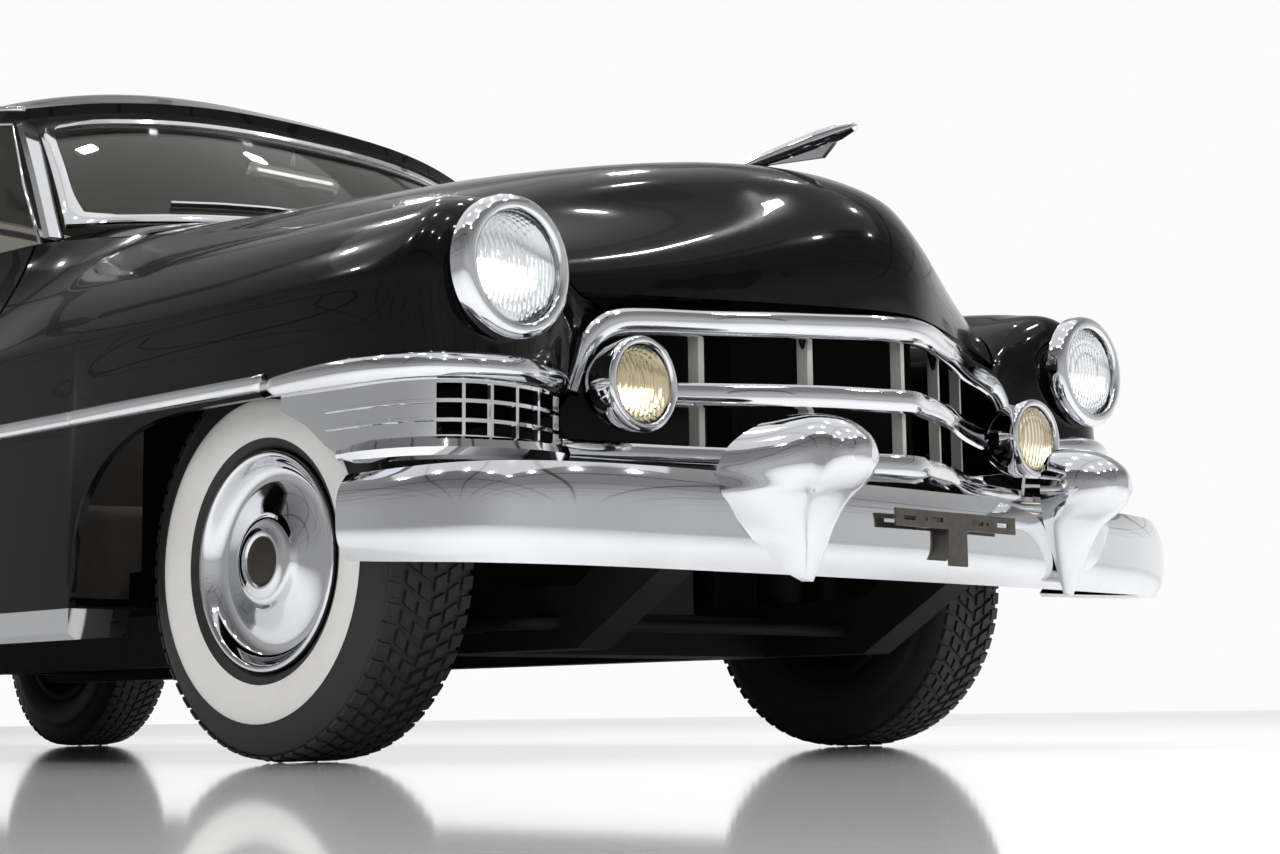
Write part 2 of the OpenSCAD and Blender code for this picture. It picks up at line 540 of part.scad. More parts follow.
// Floor pan, firewall, heel board and boot floor in one pressing
module floor() {
    floor_z = rail_top + near_gap;
    boot_z = kick_z + 100 + near_gap;
    heel_y = R - 830;
    color(STEEL) union() {
        translate([-(W - 132), F + 700, floor_z]) cube([2 * (W - 132), heel_y - F - 700, floor_t]);
        translate([-(W - 350), F + 690, floor_z]) cube([2 * (W - 350), floor_t, 700]);
        translate([-(W - 335), heel_y - floor_t, floor_z]) cube([2 * (W - 335), floor_t, boot_z - floor_z
            + floor_t]);
        translate([-(W - 335), heel_y - floor_t, boot_z]) cube([2 * (W - 335), R + 1215.3 - heel_y, floor_t]);
        for (side = [-1, 1]) translate([side * (W - 136) - 4, F + 700, 236])
            cube([8, heel_y - F - 700, rail_top + floor_t - 236]);
        translate([-110, F + 700, floor_z]) cube([220, heel_y - F - 700, floor_t + tunnel_h - near_gap]);
        for (side = [-1, 1]) translate([side * (W - 342) - 7, R - 400, kick_z]) cube([14, 800, 310]);
    }
}

// Radiator on its support across the rails, with the hood latch on top
module radiator() {
    latch = moved_grid(lid_grid(hood_rows, 16, 18), lid_t)[9][9];
    base_z = horn_top + near_gap;
    color(STEEL) translate([0, latch[1], 0]) union() {
        translate([-rail_x - rail_w, -40, base_z]) cube([2 * (rail_x + rail_w), 80, 40]);
        translate([-260, -30, base_z + 39]) cube([520, 60, 390]);
        translate([-210, -40, base_z + 420]) cube([420, 80, 60]);
        translate([0, 0, base_z + 470]) cylinder(h = latch[2] - base_z - 473.2, r = 6);
    }
}

module engine() {
    pan_z = rail_low + 80 + near_gap;
    color(STEEL) union() {
        translate([-110, F - 120, pan_z]) cube([220, 560, 160]);
        translate([-170, F - 170, pan_z + 150]) cube([340, 690, 230]);
        for (side = [-1, 1]) translate([side * 150, F - 170, pan_z + 300]) rotate([0, side * 45, 0])
            translate([-80, 0, 0]) cube([160, 690, 160]);
        translate([0, F - 90, pan_z + 380]) cylinder(h = 210, r = 130);
    }
}

// Front arms with kingpins, knuckles and spindles
kingpin_x = front_half_track - 87;
arm_low_z = hub_z - 96;
arm_high_z = hub_z + 84;
arm_t = 26;
module front_arms() {
    arm = [[rail_x + rail_w + near_gap, -110], [rail_x + rail_w + near_gap, 110], [kingpin_x - 60, 38],
        [kingpin_x + 28, 24],
        [kingpin_x + 28, -24], [kingpin_x - 60, -38]];
    color(STEEL) both_sides() translate([0, F, 0]) union() {
        translate([0, 0, arm_low_z - arm_t]) linear_extrude(arm_t) polygon(arm);
        translate([0, 0, arm_high_z]) linear_extrude(arm_t) polygon(arm);
        translate([kingpin_x, 0, arm_low_z - 1]) cylinder(h = arm_high_z - arm_low_z + 2, r = kingpin_r);
        translate([kingpin_x - 160, 0, arm_low_z - 1]) cylinder(h = arm_high_z - arm_low_z + 2, r = 52);
    }
}
module knuckle(side) {
    color(STEEL) scale([side, 1, 1]) translate([0, F, 0]) difference() {
        union() {
            translate([kingpin_x, 0, arm_low_z + near_gap])
                cylinder(h = arm_high_z - arm_low_z - 2 * near_gap, r = 34);
            translate([kingpin_x, 0, hub_z]) rotate([0, 90, 0]) cylinder(h = 40, r = 60);
            translate([kingpin_x + 20, 0, hub_z]) rotate([0, 90, 0])
                cylinder(h = front_half_track + 84 - kingpin_x - 20, r = spindle_r);
        }
        translate([kingpin_x, 0, arm_low_z - 1]) cylinder(h = 300, r = kingpin_r + running_gap);
    }
}
module knuckle_l() knuckle(1);
module knuckle_r() knuckle(-1);

module rear_axle() {
    tube_end = rear_half_track - 112;
    half = [[0, 0], [135, 0], [135, 46], [112, 82], [70, 122], [44, 150], [44, tube_end],
        [axle_shaft_r, tube_end],
        [axle_shaft_r, rear_half_track + 84], [0, rear_half_track + 84]];
    profile = concat(half, [for (i = [len(half) - 1:-1:0]) if (half[i][1] > 0) [half[i][0], -half[i][1]]]);
    color(STEEL) translate([0, R, hub_z]) union() {
        rotate([0, 90, 0]) rotate_extrude() polygon([for (p = profile) if (p[1] != 0) p]);
        rotate([90, 0, 0]) cylinder(h = 260, r = 44);
    }
}
spring_x = rail_x + rail_w + 30;
module rear_springs() {
    leaf = [[R - 500, 262], [R - 60, 256], [R + 60, 256], [R + 620, 300], [R + 620, 330], [R + 60, 301.7],
        [R - 60, 301.7], [R - 500, 292]];
    color(STEEL) both_sides() union() {
        translate([spring_x, 0, 0]) rotate([90, 0, 90]) linear_extrude(60) polygon(leaf);
        translate([rail_x + rail_w, R - 560, 240]) cube([spring_x + 60 - rail_x - rail_w, 62, 56]);
        translate([rail_x + rail_w, R + 600, 296]) cube([spring_x + 60 - rail_x - rail_w, 50, 110]);
    }
}

// Wheels: rim, disc, hub and full cover turned in one; tyres seat on the beads
module wheel(bore) {
    profile = [
        [bore, -40], [56, -40], [60, 24], [150, 10], [164, -20], [164, -84], [186, -100], [bead_r + 12, -100],
        [bead_r + 12, -84.5], [bead_r - near_gap, -84.5], [bead_r - near_gap, 84.5], [bead_r + 12, 84.5],
            [bead_r + 12, 94],
        [188, 104], [170, 97], [150, 82], [110, 78], [70, 92], [40, 100], [0, 103], [0, 88], [bore, 88]
    ];
    color(CHROME) rotate([0, 90, 0]) rotate_extrude() polygon(profile);
}
module tyre() {
    profile = [
        [bead_r, -84], [bead_r + 13, -84], [bead_r + 34, -tyre_w / 2 + 5], [bead_r + 80, -tyre_w / 2],
        [tyre_r - 34, -tyre_w / 2 + 6], [tyre_r - 8, -tyre_w / 2 + 22], [tyre_r, -tyre_w / 2 + 48],
        [tyre_r, tyre_w / 2 - 48], [tyre_r - 8, tyre_w / 2 - 22], [tyre_r - 34, tyre_w / 2 - 6],
        [bead_r + 80, tyre_w / 2], [bead_r + 34, tyre_w / 2 - 5], [bead_r + 13, 84], [bead_r, 84]
    ];
    color(RUBBER) rotate([0, 90, 0]) rotate_extrude() polygon(profile);
}
module at_front(side) translate([side * front_half_track, F, hub_z]) scale([side, 1, 1]) children();
module at_rear(side) translate([side * rear_half_track, R, hub_z]) scale([side, 1, 1]) children();
module wheel_fl() at_front(1) wheel(spindle_r + running_gap);
module wheel_fr() at_front(-1) wheel(spindle_r + running_gap);
module wheel_rl() at_rear(1) wheel(axle_shaft_r + running_gap);
module wheel_rr() at_rear(-1) wheel(axle_shaft_r + running_gap);
module tyre_fl() at_front(1) tyre();
module tyre_fr() at_front(-1) tyre();
module tyre_rl() at_rear(1) tyre();
module tyre_rr() at_rear(-1) tyre();

// Grille: a prow in plan, columns [half width, y]
nose = (W - 359.4) / 626;
prow = [for (p = [[0, 752], [190, 690], [375, 604], [540, 548], [640, 526], [720, 520]]) [p[0] * nose,
    F - p[1]]];
function prow_y(x) = curve(prow, abs(x), 1);
function bar_ring(p, w, h) = [for (a = [0:40:320]) p + [0, w * cos(a), h * sin(a)]];
// Upper moulding: columns [half width, z]
brow = [for (p = [[0, 752], [300, 744], [480, 738], [556, 724], [592, 690], [612, 640],
    [626, 602]]) [p[0] * nose, p[1]]];
brow_h = 22;
module grille() {
    color(CHROME) {
        skin([for (x = steps(-1, 1, 24)) let(k = abs(x) * 6, r = floor(min(k, 5.99)), t = k - r,
            w = mix(brow[r][0], brow[r + 1][0], t), z = mix(brow[r][1], brow[r + 1][1], t))
            [for (a = [0:45:315]) [(x < 0 ? -1 : 1) * (w + (w > 500 * nose ? 13 * cos(a) : 0)),
                prow_y(w) - 4 + 15 * sin(a), z + (w > 500 * nose ? 5 * cos(a) : brow_h * cos(a) - 4)]]]);
        skin([for (k = steps(-1, 1, 16)) let(x = (fog_x * nose - fog_r - 7) * k)
            bar_ring([x, prow_y(x) - 4, 620 - 10 * k ^ 2], 14, 22)]);
        skin([for (x = steps(333 - W, W - 333, 16)) bar_ring([x, prow_y(x) - 6, 500], 16, 26)]);
        for (i = [0:grille_bars - 1]) let(x = (i - (grille_bars - 1) / 2) * grille_pitch * nose)
            translate([0, 0, 486]) linear_extrude(256) polygon([
                for (c = [[-5, 10.6], [5, 10.6], [5, 34], [-5, 34]]) [x + c[0], prow_y(x + c[0]) + c[1]]]);
    }
}

// Bright fender ends under the headlamps: a plain side with ribs, an open crate at the front, and below
// them the band that carries the lower grille bar round the corner
end_low_z = 484;
end_top_z = arch_top_z - 0.6;
crate_turn = F - 596;
function end_low(s) = s < F - 392 ? end_low_z : max(end_low_z, arch_z(s - F));
function end_point(s, z) = let(k = (end_top_z - z) / (end_top_z - end_low_z)) [low_point(s)[0] - 8 * k,
    low_point(s)[1] + 10 * k, z];
function out_at(s) = let(along = low_point(s + 4) - low_point(s - 4)) unit([along[1], -along[0], 0]);
module end_strip(stations, z0, z1) {
    grid = [for (s = stations) [for (t = steps(0, 1, 2)) end_point(s, mix(max(z0, end_low(s)), z1, t))]];
    panel(grid, [for (i = [0:len(grid) - 1]) [for (p = grid[i]) p - 10 * out_at(stations[i])]]);
}
module end_grilles() {
    front = steps(F - 880.7, crate_turn, 8);
    side = concat(steps(crate_turn - 4, F - 440, 4), [F - 392, F - 370, F - 330, F - 280, F - 220]);
    color(CHROME) both_sides() union() {
        end_strip(side, end_low_z, end_top_z);
        for (rail = [[end_low_z, 508], [528, 534], [558, 564], [588, end_top_z]])
            end_strip(front, rail[0], rail[1]);
        for (s = [F - 877, F - 806, F - 755, F - 704, F - 652]) end_strip([s - 3, s + 3], 500, 592);
        for (z = [532, 560]) skin([for (s = steps(crate_turn, F - 330, 6))
            let(p = end_point(s, z), n = out_at(s))
            [p - n - [0, 0, 4], p + 4 * n - [0, 0, 2.5], p + 4 * n + [0, 0, 2.5], p - n + [0, 0, 4]]]);
        skin([for (s = concat(steps(F - 872, F - 440, 10), [F - 404, F - 380, F - 366])) let(
            k = s > F - 404 ? 0.5 : s > F - 410 ? 0.85 : 1, n = out_at(s),
            p = low_point(s) + 4 * n, z = mix(486, 494, max(0, (F - 700 - s) / 180)))
            [for (a = [0:45:315]) [p[0], p[1], z] + k * 17 * cos(a) * n + [0, 0, k * 18 * sin(a)]]]);
    }
}

// Lamps
lamp_y = F - 603.6;
module headlamps() {
    rim = [[bezel_r, 20], [bezel_r, 4], [bezel_r - 8, -12], [bezel_r - 24, -14], [bezel_r - 28, -4],
        [bezel_r - 28, 20]];
    lens_r = bezel_r - 28 - near_gap;
    lens = [[0, -16], [lens_r * 0.5, -13], [lens_r * 0.85, -6], [lens_r, 0], [lens_r, 16], [0, 16]];
    both_sides() translate([headlamp_x, lamp_y, headlamp_z]) rotate([-90, 0, 0]) {
        color(CHROME) rotate_extrude() polygon(rim);
        color(GLASS) rotate_extrude() polygon(lens);
    }
}
module fog_lamps() {
    pod = [[0, 88.4], [50, 88.4], [fog_r - 4, 50], [fog_r, 6], [fog_r - 4, -6], [fog_r - 12, -8],
        [fog_r - 16, 0],
        [fog_r - 16, 10], [0, 10]];
    lens_r = fog_r - 16 - near_gap;
    lens = [[0, -12], [lens_r * 0.6, -9], [lens_r, 0], [lens_r, 9.7], [0, 9.7]];
    both_sides() translate([fog_x * nose, F - 636, fog_z]) rotate([-90, 0, 0]) {
        color(CHROME) rotate_extrude() polygon(pod);
        color(GLASS) rotate_extrude() polygon(lens);
    }
}
module tail_lamps() {
    both_sides() translate([W - 130, R + 1147.3, crown_z + 8]) rotate([-90, 0, 0]) {
        color(CHROME) cylinder(h = 16, r1 = 42, r2 = 36);
        color("#7a0c10") translate([0, 0, 16]) cylinder(h = 22, r1 = 32, r2 = 24);
    }
}

bar_low_z = 296;
tip_rise = 24;
bar_top_z = 456;
function bumper_grid(tab, sign) = [for (k = steps(-7, 7, 28)) let(a = abs(k), x = curve(tab, a, 1),
    y = curve(tab, a, 2))
    [for (t = steps(0, 1, 6)) let(in = 26 * abs(2 * t - 1) ^ 3)
        [(k < 0 ? -1 : 1) * (x - in * min(a / 7, 1)), y + sign * in * (1 - a / 9),
            mix(bar_low_z + tip_rise * (a / 7) ^ 3, bar_top_z, t)]]];
module front_bumper() {
    grid = bumper_grid(front_bar, 1);
    color(CHROME) panel(grid, moved_grid(grid, -bar_t));
}
module rear_bumper() {
    grid = bumper_grid(rear_bar, -1);
    color(CHROME) panel(grid, moved_grid(grid, bar_t));
}
bullet_back_y = bar_y(front_bar, bullet_x * wide - 66) - 0.5;
guard_nose = 142;
guard = concat([for (k = [0:3]) [mix(284, bullet_z - bullet_r, k / 4), mix(12, bullet_r - 14, k / 4),
    mix(10, 58, k / 4)]],
    [for (a = [-62, -44, -26, -9, 9, 26, 44, 62, 80]) [bullet_z + bullet_r * sin(a),
        bullet_r * (a < 0 ? 1 - 0.14 * sin(a) ^ 2
        : cos(a)), guard_nose * (a < 0 ? 0.36 + 0.64 * cos(a) ^ 2 : cos(a))]]);
function guard_arc(w, d) = [for (a = [180:-22.5:0]) [w * cos(a), 1.2 - d * sin(a)]];
module bumper_guards() {
    rings = [for (row = guard) [for (p = guard_arc(row[1], row[2])) [p[0], p[1], row[0]]]];
    color(CHROME) both_sides() translate([bullet_x * wide, bullet_back_y, 0]) skin(rings);
}
module plate_bracket() {
    color(STEEL) translate([0, bar_y(front_bar, 0) - 16, 0]) difference() {
        union() {
            translate([-plate_pitch / 2 - 85, -4, 385]) cube([plate_pitch + 170, 4, 30]);
            translate([-27, -4, 322]) cube([54, 4, 64]);
            for (side = [-1, 1]) translate([side * 60 - 12, 0, 388]) cube([24, 16.7, 24]);
        }
        for (side = [-1, 1]) translate([side * plate_pitch / 2, 1, 400]) rotate([90, 0, 0])
            cylinder(h = 6, r = plate_hole_r);
        for (side = [-1, 1], x = [plate_pitch / 2 - 30, plate_pitch / 2 + 46])
            translate([side * x - 17, -5, 396]) cube([34, 6, 8]);
    }
}

// Side spears along the fenders, doors and quarters
spear_z = 607;
spear_h = 30;
module spear(stations, seat) {
    rings = [for (s = stations) let(
        a = low_point(s), c = point(crease_line, s), along = low_point(s + 4) - low_point(s - 4),
        n = unit([along[1], -along[0], 0]), lo = spear_z + 1, hi = lo + spear_h,
        p = side_point(s, (lo - a[2]) / (c[2] - a[2])) + seat * n,
            q = side_point(s, (hi - a[2]) / (c[2] - a[2])) + seat * n)
        [p, p + 9 * n + [0, 0, 4], mix(p, q, 0.5) + 12 * n, q + 9 * n - [0, 0, 4], q]];
    color(CHROME) skin(rings);
}
wing_back = F - 186;
module front_wing() {
    stations = concat([F - 888], [for (s = fender_stations) if (s > F - 880 && s < wing_back - 20) s],
        [wing_back]);
    color(CHROME) skin([for (s = stations) let(
        n = out_at(s), k = s < F - 880 ? 0.5 : s < F - 800 ? 0.8 : s > wing_back - 4 ? 0.72 : 1,
        a = low_point(s), c = point(crease_line, s), lo = spear_z - 4, hi = lo + 36 * k,
        p = side_point(s, (lo - a[2]) / (c[2] - a[2])), q = side_point(s, (hi - a[2]) / (c[2] - a[2])))
        [p + 1.9 * n, p + 11 * k * n - [0, 0, 10 * k], p + 23 * k * n + [0, 0, 7 * k], q
            + 17 * k * n - [0, 0, 8 * k], q + 1.9 * n]]);
}
module side_spears() both_sides() {
    front_wing();
    spear(concat([wing_back + 0.6], [for (s = fender_stations) if (s > wing_back + 20) s]), 0.6);
    spear([for (s = quarter_stations) if (s < R + 910) s], 0.9);
}
module door_handle() {
    pull = 20;
    color(CHROME) skin([for (k = steps(0, 1, 8)) let(s = door_rear_y - 300 + 190 * k, n = out_at(s),
        p = side_point(s, 1.12) + (11.6 + pull * sin(180 * k)) * n)
        [for (a = [0:45:315]) p + 7 * cos(a) * n + [0, 0, 11 * sin(a)]]]);
}
module door_spear_l() {
    spear(door_stations, 0.2);
    door_handle();
}
module door_spear_r() mirror([1, 0, 0]) door_spear_l();

// Ornament on the hood: a plain spear on a foot
ornament_y = F - 400;
module hood_ornament() {
    z = curve(hood_rows, 5, 2);
    dart = [[0, 0], [6, 8], [13, 70], [17, 150], [18, 210], [15, 262], [8, 296], [0, 306]];
    color(CHROME) translate([0, ornament_y + 50, z + 16]) union() {
        rotate([84, 0, 0]) rotate_extrude() polygon(dart);
        rotate([90, 0, -90]) translate([0, 0, -5]) linear_extrude(10)
            polygon([[30, 0.6], [220, -14], [250, 10], [60, 10]]);
    }
}

// Cabin
seat_w = 2 * (W - 365);
tunnel_h = 120;
module bench(y, z, back_h, riser_h) {
    color("#3a2f2a") union() {
        translate([seat_w / 2, y, z]) rotate([90, 0, -90]) linear_extrude(seat_w)
            polygon([[0, 0], [520, 0], [540, 30], [540, 130], [510, 165], [160, 140], [70, back_h],
                [20, back_h + 20],
                [-50, back_h], [-60, back_h - 40], [0, 100]]);
        if (riser_h > 0) for (side = [-1, 1]) translate([side * 400 - 150, y - 460, z - riser_h])
            cube([300, 400, riser_h + 1]);
    }
}
module front_seat() bench(280, rail_top + floor_t + tunnel_h + 2 * near_gap, 420, tunnel_h);
module rear_seat() bench(R - 280, kick_z + 100 + floor_t + 2 * near_gap, 360, 0);
module dashboard() {
    color(PAINT) translate([W - 365, 0, 0]) rotate([90, 0, -90]) linear_extrude(2 * (W - 365))
        polygon([[-F - 706.4, 760], [-F - 800, 780], [-F - 860, 860], [-F - 850, 960], [-F - 800, 1000],
            [-F - 706.4, 1000]]);
}
column_x = W - 605;
column_tilt = 34;
wheel_hub = [column_x, F + 1290, 990];
shaft_r = 10;
column_r = 24;
column_len = (1290 - 690 - floor_t - column_r * sin(column_tilt) - 0.5) / cos(column_tilt);
module on_column() translate(wheel_hub) rotate([90 + column_tilt, 0, 0]) children();
module steering_column() {
    color(STEEL) on_column() difference() {
        translate([0, 0, 60]) cylinder(h = column_len - 60, r = column_r);
        translate([0, 0, 59]) cylinder(h = 150, r = shaft_r + running_gap);
    }
}
module steering_wheel() {
    color("#15130f") on_column() union() {
        rotate_extrude() translate([215, 0]) circle(r = 11, $fn = 24);
        translate([0, 0, -12]) cylinder(h = 52, r = 34);
        for (a = [0, 180]) rotate([0, 0, a]) translate([20, -12, 2]) cube([190, 24, 9]);
        translate([0, 0, 30]) cylinder(h = 170, r = shaft_r);
    }
}

frame_rails();
frame_cross();
floor();
rockers();
hinge_posts();
engine();
radiator();
front_arms();
knuckle_l();
knuckle_r();
rear_axle();
rear_springs();
hood();
hood_ornament();
fender_l();
fender_r();
cowl();
door_l();
door_r();
door_spear_l();
door_spear_r();
quarter_l();
quarter_r();
deck_lid();
rear_cowl();
tail_panel();
roof();
pillars();
windshield();
rear_window();
door_glass_l();
door_glass_r();
quarter_glass();
grille();
end_grilles();
headlamps();
fog_lamps();
tail_lamps();
front_bumper();
bumper_guards();
plate_bracket();
rear_bumper();
side_spears();
front_seat();
rear_seat();
dashboard();
steering_column();
steering_wheel();
tyre_fl();
tyre_fr();
tyre_rl();
tyre_rr();
wheel_fl();
wheel_fr();
wheel_rl();
wheel_rr();
window_frames();
mirror_bar();  // mirror
wipers();
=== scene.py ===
# %% [markdown]
# A black two-door hardtop of the early 1950s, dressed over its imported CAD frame.
# The frame gives every panel, wheel and lamp its place. This lesson smooths the
# panels, turns the wheels, cuts the tread and lays the bright trim on top.

# %% The frame and its size
import json
import math

import bmesh
import bpy
import numpy
from mathutils import Matrix, Vector
from mathutils.bvhtree import BVHTree


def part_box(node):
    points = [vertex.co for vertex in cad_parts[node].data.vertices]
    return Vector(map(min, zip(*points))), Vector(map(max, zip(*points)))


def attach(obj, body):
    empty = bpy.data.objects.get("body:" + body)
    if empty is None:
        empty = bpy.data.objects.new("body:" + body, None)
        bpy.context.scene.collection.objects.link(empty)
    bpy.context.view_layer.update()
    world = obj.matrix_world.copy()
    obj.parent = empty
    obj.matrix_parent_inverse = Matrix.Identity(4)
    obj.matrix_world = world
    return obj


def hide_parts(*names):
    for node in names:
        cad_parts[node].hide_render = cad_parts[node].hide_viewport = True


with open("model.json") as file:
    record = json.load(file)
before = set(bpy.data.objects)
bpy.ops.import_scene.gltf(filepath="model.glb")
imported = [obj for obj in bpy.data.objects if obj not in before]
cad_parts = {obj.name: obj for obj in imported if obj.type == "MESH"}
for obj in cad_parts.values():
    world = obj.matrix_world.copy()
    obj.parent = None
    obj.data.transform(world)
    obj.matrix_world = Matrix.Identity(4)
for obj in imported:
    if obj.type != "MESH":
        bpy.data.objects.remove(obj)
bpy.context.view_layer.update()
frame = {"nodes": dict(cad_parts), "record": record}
behaviour = frame["record"]["behaviour"]
BODY_OF = {node: body for body, members in behaviour["bodies"].items() for node in members}
JOINTS = {joint["name"]: joint for joint in behaviour["joints"]}
SIDES = ((-1, "r"), (1, "l"))

# The tyres stand on the floor, so the height of a hub is also a tyre's radius
FRONT_Y, TYRE_R = JOINTS["front_spin_l"]["pos_m"][1:]

# %% [markdown]
# The photograph was taken almost at floor level, just ahead of the front bumper.
# The camera's place and turn were worked out from the wheels and lamps, so they are
# written as plain numbers: where it stands, and how it is turned, tipped and rolled.

# %% Camera
EYE_AT = (-3.1416, -4.9375, 0.0721)
YAW, PITCH, ROLL = 45.91, 7.43, -0.74
FOCAL_PIXELS, PICTURE_PIXELS, SENSOR_MM = 2215.5, 1280, 36.0


def aimed(yaw, pitch, roll):
    yaw, pitch, roll = (math.radians(angle) for angle in (yaw, pitch, roll))
    ahead = Vector((math.sin(yaw) * math.cos(pitch), math.cos(yaw) * math.cos(pitch), math.sin(pitch)))
    right = Vector((math.cos(yaw), -math.sin(yaw), 0.0))
    up = right.cross(ahead)
    side = right * math.cos(roll) + up * math.sin(roll)
    top = up * math.cos(roll) - right * math.sin(roll)
    return Matrix((side, top, -ahead)).transposed().to_4x4()


eye = bpy.data.objects.new("camera", bpy.data.cameras.new("camera"))
bpy.context.scene.collection.objects.link(eye)
eye.matrix_world = Matrix.Translation(EYE_AT) @ aimed(YAW, PITCH, ROLL)
eye.data.sensor_fit = "HORIZONTAL"
eye.data.sensor_width = SENSOR_MM
eye.data.lens = SENSOR_MM * FOCAL_PIXELS / PICTURE_PIXELS
eye.data.clip_start, eye.data.clip_end = 0.02, 200
bpy.context.scene.camera = eye
bpy.context.scene.view_settings.view_transform = "Standard"
print("camera lens", round(eye.data.lens, 1), "mm")

# %% [markdown]
# A finish is a small graph of shader nodes. Wire wraps one socket, so that maths on
# sockets can be written as ordinary Python. Every other node comes from new_node, which
# takes its type, its settings, and the values or wires of its sockets. A socket is given
# by its label, or by its number after an underscore where several share one label.

# %% Shader expressions
class Wire:
    def __init__(self, tree, socket):
        self.tree, self.socket = tree, socket

    def math(self, operation, other, flipped=False):
        first, second = (other, self) if flipped else (self, other)
        made = new_node(self.tree, "Math", {"operation": operation}, _0=first, _1=second)
        return Wire(self.tree, made.outputs[0])

    def __add__(self, other):
        return self.math("ADD", other)

    def __mul__(self, other):
        return self.math("MULTIPLY", other)

    def __sub__(self, other):
        return self.math("SUBTRACT", other)

    def __rsub__(self, other):
        return self.math("SUBTRACT", other, flipped=True)

    def __lt__(self, other):
        return self.math("LESS_THAN", other)

    def __gt__(self, other):
        return self.math("GREATER_THAN", other)

    __radd__, __rmul__ = __add__, __mul__


def feed(tree, socket, value):
    if isinstance(value, Wire):
        tree.links.new(value.socket, socket)
    else:
        socket.default_value = value


def new_node(tree, kind, settings=None, **inputs):
    made = tree.nodes.new("ShaderNode" + kind)
    for key, value in (settings or {}).items():
        setattr(made, key, value)
    for label, value in inputs.items():
        feed(tree, made.inputs[int(label[1:]) if label[0] == "_" else label], value)
    return made


class Finish:
    def __init__(self, name, colour, **fixed):
        self.material = bpy.data.materials.new(name)
        self.material.use_nodes = True
        self.tree = self.material.node_tree
        self.surface = self.tree.nodes["Principled BSDF"]
        self.set("Base Color", (*colour, 1.0))
        for label, value in fixed.items():
            self.set(label.replace("_", " ").title().replace("Ior", "IOR"), value)

    def set(self, label, value):
        feed(self.tree, self.surface.inputs[label], value)

    def node(self, kind, out=0, settings=None, **inputs):
        made = new_node(self.tree, kind, settings, **inputs)
        return Wire(self.tree, made.outputs[out])

    def place(self):
        return self.node("TexCoord", out="Object")

    def noise(self, scale, detail=2.0):
        return self.node("TexNoise", Vector=self.place(), Scale=scale, Detail=detail)

    def bump(self, height, strength, distance):
        self.set("Normal", self.node("Bump", Height=height, Strength=strength, Distance=distance))

    def between(self, mask, low, high):
        # In a Mix node the two colours are inputs 6 and 7, and the mixed colour is output 2
        return self.node("Mix", out=2, settings={"data_type": "RGBA"}, _0=mask,
                         _6=(*low, 1.0), _7=(*high, 1.0))


print("shader helpers ready")

# %% [markdown]
# Black lacquer is almost colourless: what is seen is the room in its clear coat, so
# a faint waviness and a little dust in the roughness do more than any colour. Chrome
# is a bright metal with a cool tint, and a few dull patches where road film dries. A
# window pane is thin, so its glass bends light less than a solid block would.

# %% Paint, chrome and glass
lacquer = Finish("black lacquer", (0.003, 0.003, 0.0035), coat_weight=0.4, coat_roughness=0.015,
                 specular_ior_level=0.05)
dust = lacquer.noise(35.0, detail=4.0)
lacquer.set("Roughness", 0.10 + dust * 0.10)
lacquer.bump(lacquer.noise(700.0, detail=1.0), strength=0.02, distance=0.0004)

chrome = Finish("bumper chrome", (0.82, 0.83, 0.85), metallic=1.0)
film = chrome.noise(9.0, detail=5.0)
chrome.set("Roughness", 0.035 + film * 0.06)
chrome.set("Base Color", chrome.between(film, (0.86, 0.87, 0.89), (0.74, 0.75, 0.78)))

window = Finish("window glass", (0.42, 0.41, 0.38), roughness=0.0, transmission_weight=1.0,
                coat_weight=0.3, ior=1.12)
print("lacquer, chrome and window glass ready")

# %% [markdown]
# Rubber is a dark grey with a fine grain. The white band of the tyre is rubber too,
# only cleaner and smoother, with faint scuffs. Cast iron, frame steel and lining are
# seen in shade, so each gets a broad uneven colour and a roughness of its own. Frame
# steel is black, made darker still as painted shade, and the radiator, the car's floor
# and the boot liners get a near-black painted shade. They differ only in their numbers,
# so one function makes them all.

# %% Rubber, lining and the dark metals
ROUGHNESS_SWING, GRAIN_HEIGHT = 0.15, 0.0008


def mottled(name, low, high, scale, rough, grain, grain_scale=400.0, **fixed):
    made = Finish(name, low, **fixed)
    patch = made.noise(scale, detail=4.0)
    made.set("Base Color", made.between(patch, low, high))
    made.set("Roughness", rough + patch * ROUGHNESS_SWING)
    made.bump(made.noise(grain_scale, detail=3.0), grain, GRAIN_HEIGHT)
    return made


rubber = mottled("tyre rubber", (0.012, 0.012, 0.013), (0.026, 0.025, 0.025),
                 scale=30.0, rough=0.50, grain=0.25, grain_scale=600.0)
white_band = mottled("white sidewall", (0.76, 0.75, 0.72), (0.84, 0.83, 0.80),
                     scale=22.0, rough=0.38, grain=0.10, grain_scale=500.0)
# Black frame steel, made darker still as painted shade for the underside of the car
frame_black_and_shade = mottled("frame steel and painted shade", (0.004, 0.004, 0.004), (0.014, 0.013, 0.012),
                      scale=14.0, rough=0.55, grain=0.3, grain_scale=220.0, specular_ior_level=0.25)
engine_grey = mottled("engine iron", (0.010, 0.011, 0.012), (0.028, 0.028, 0.028),
                      scale=18.0, rough=0.5, grain=0.4, grain_scale=180.0)
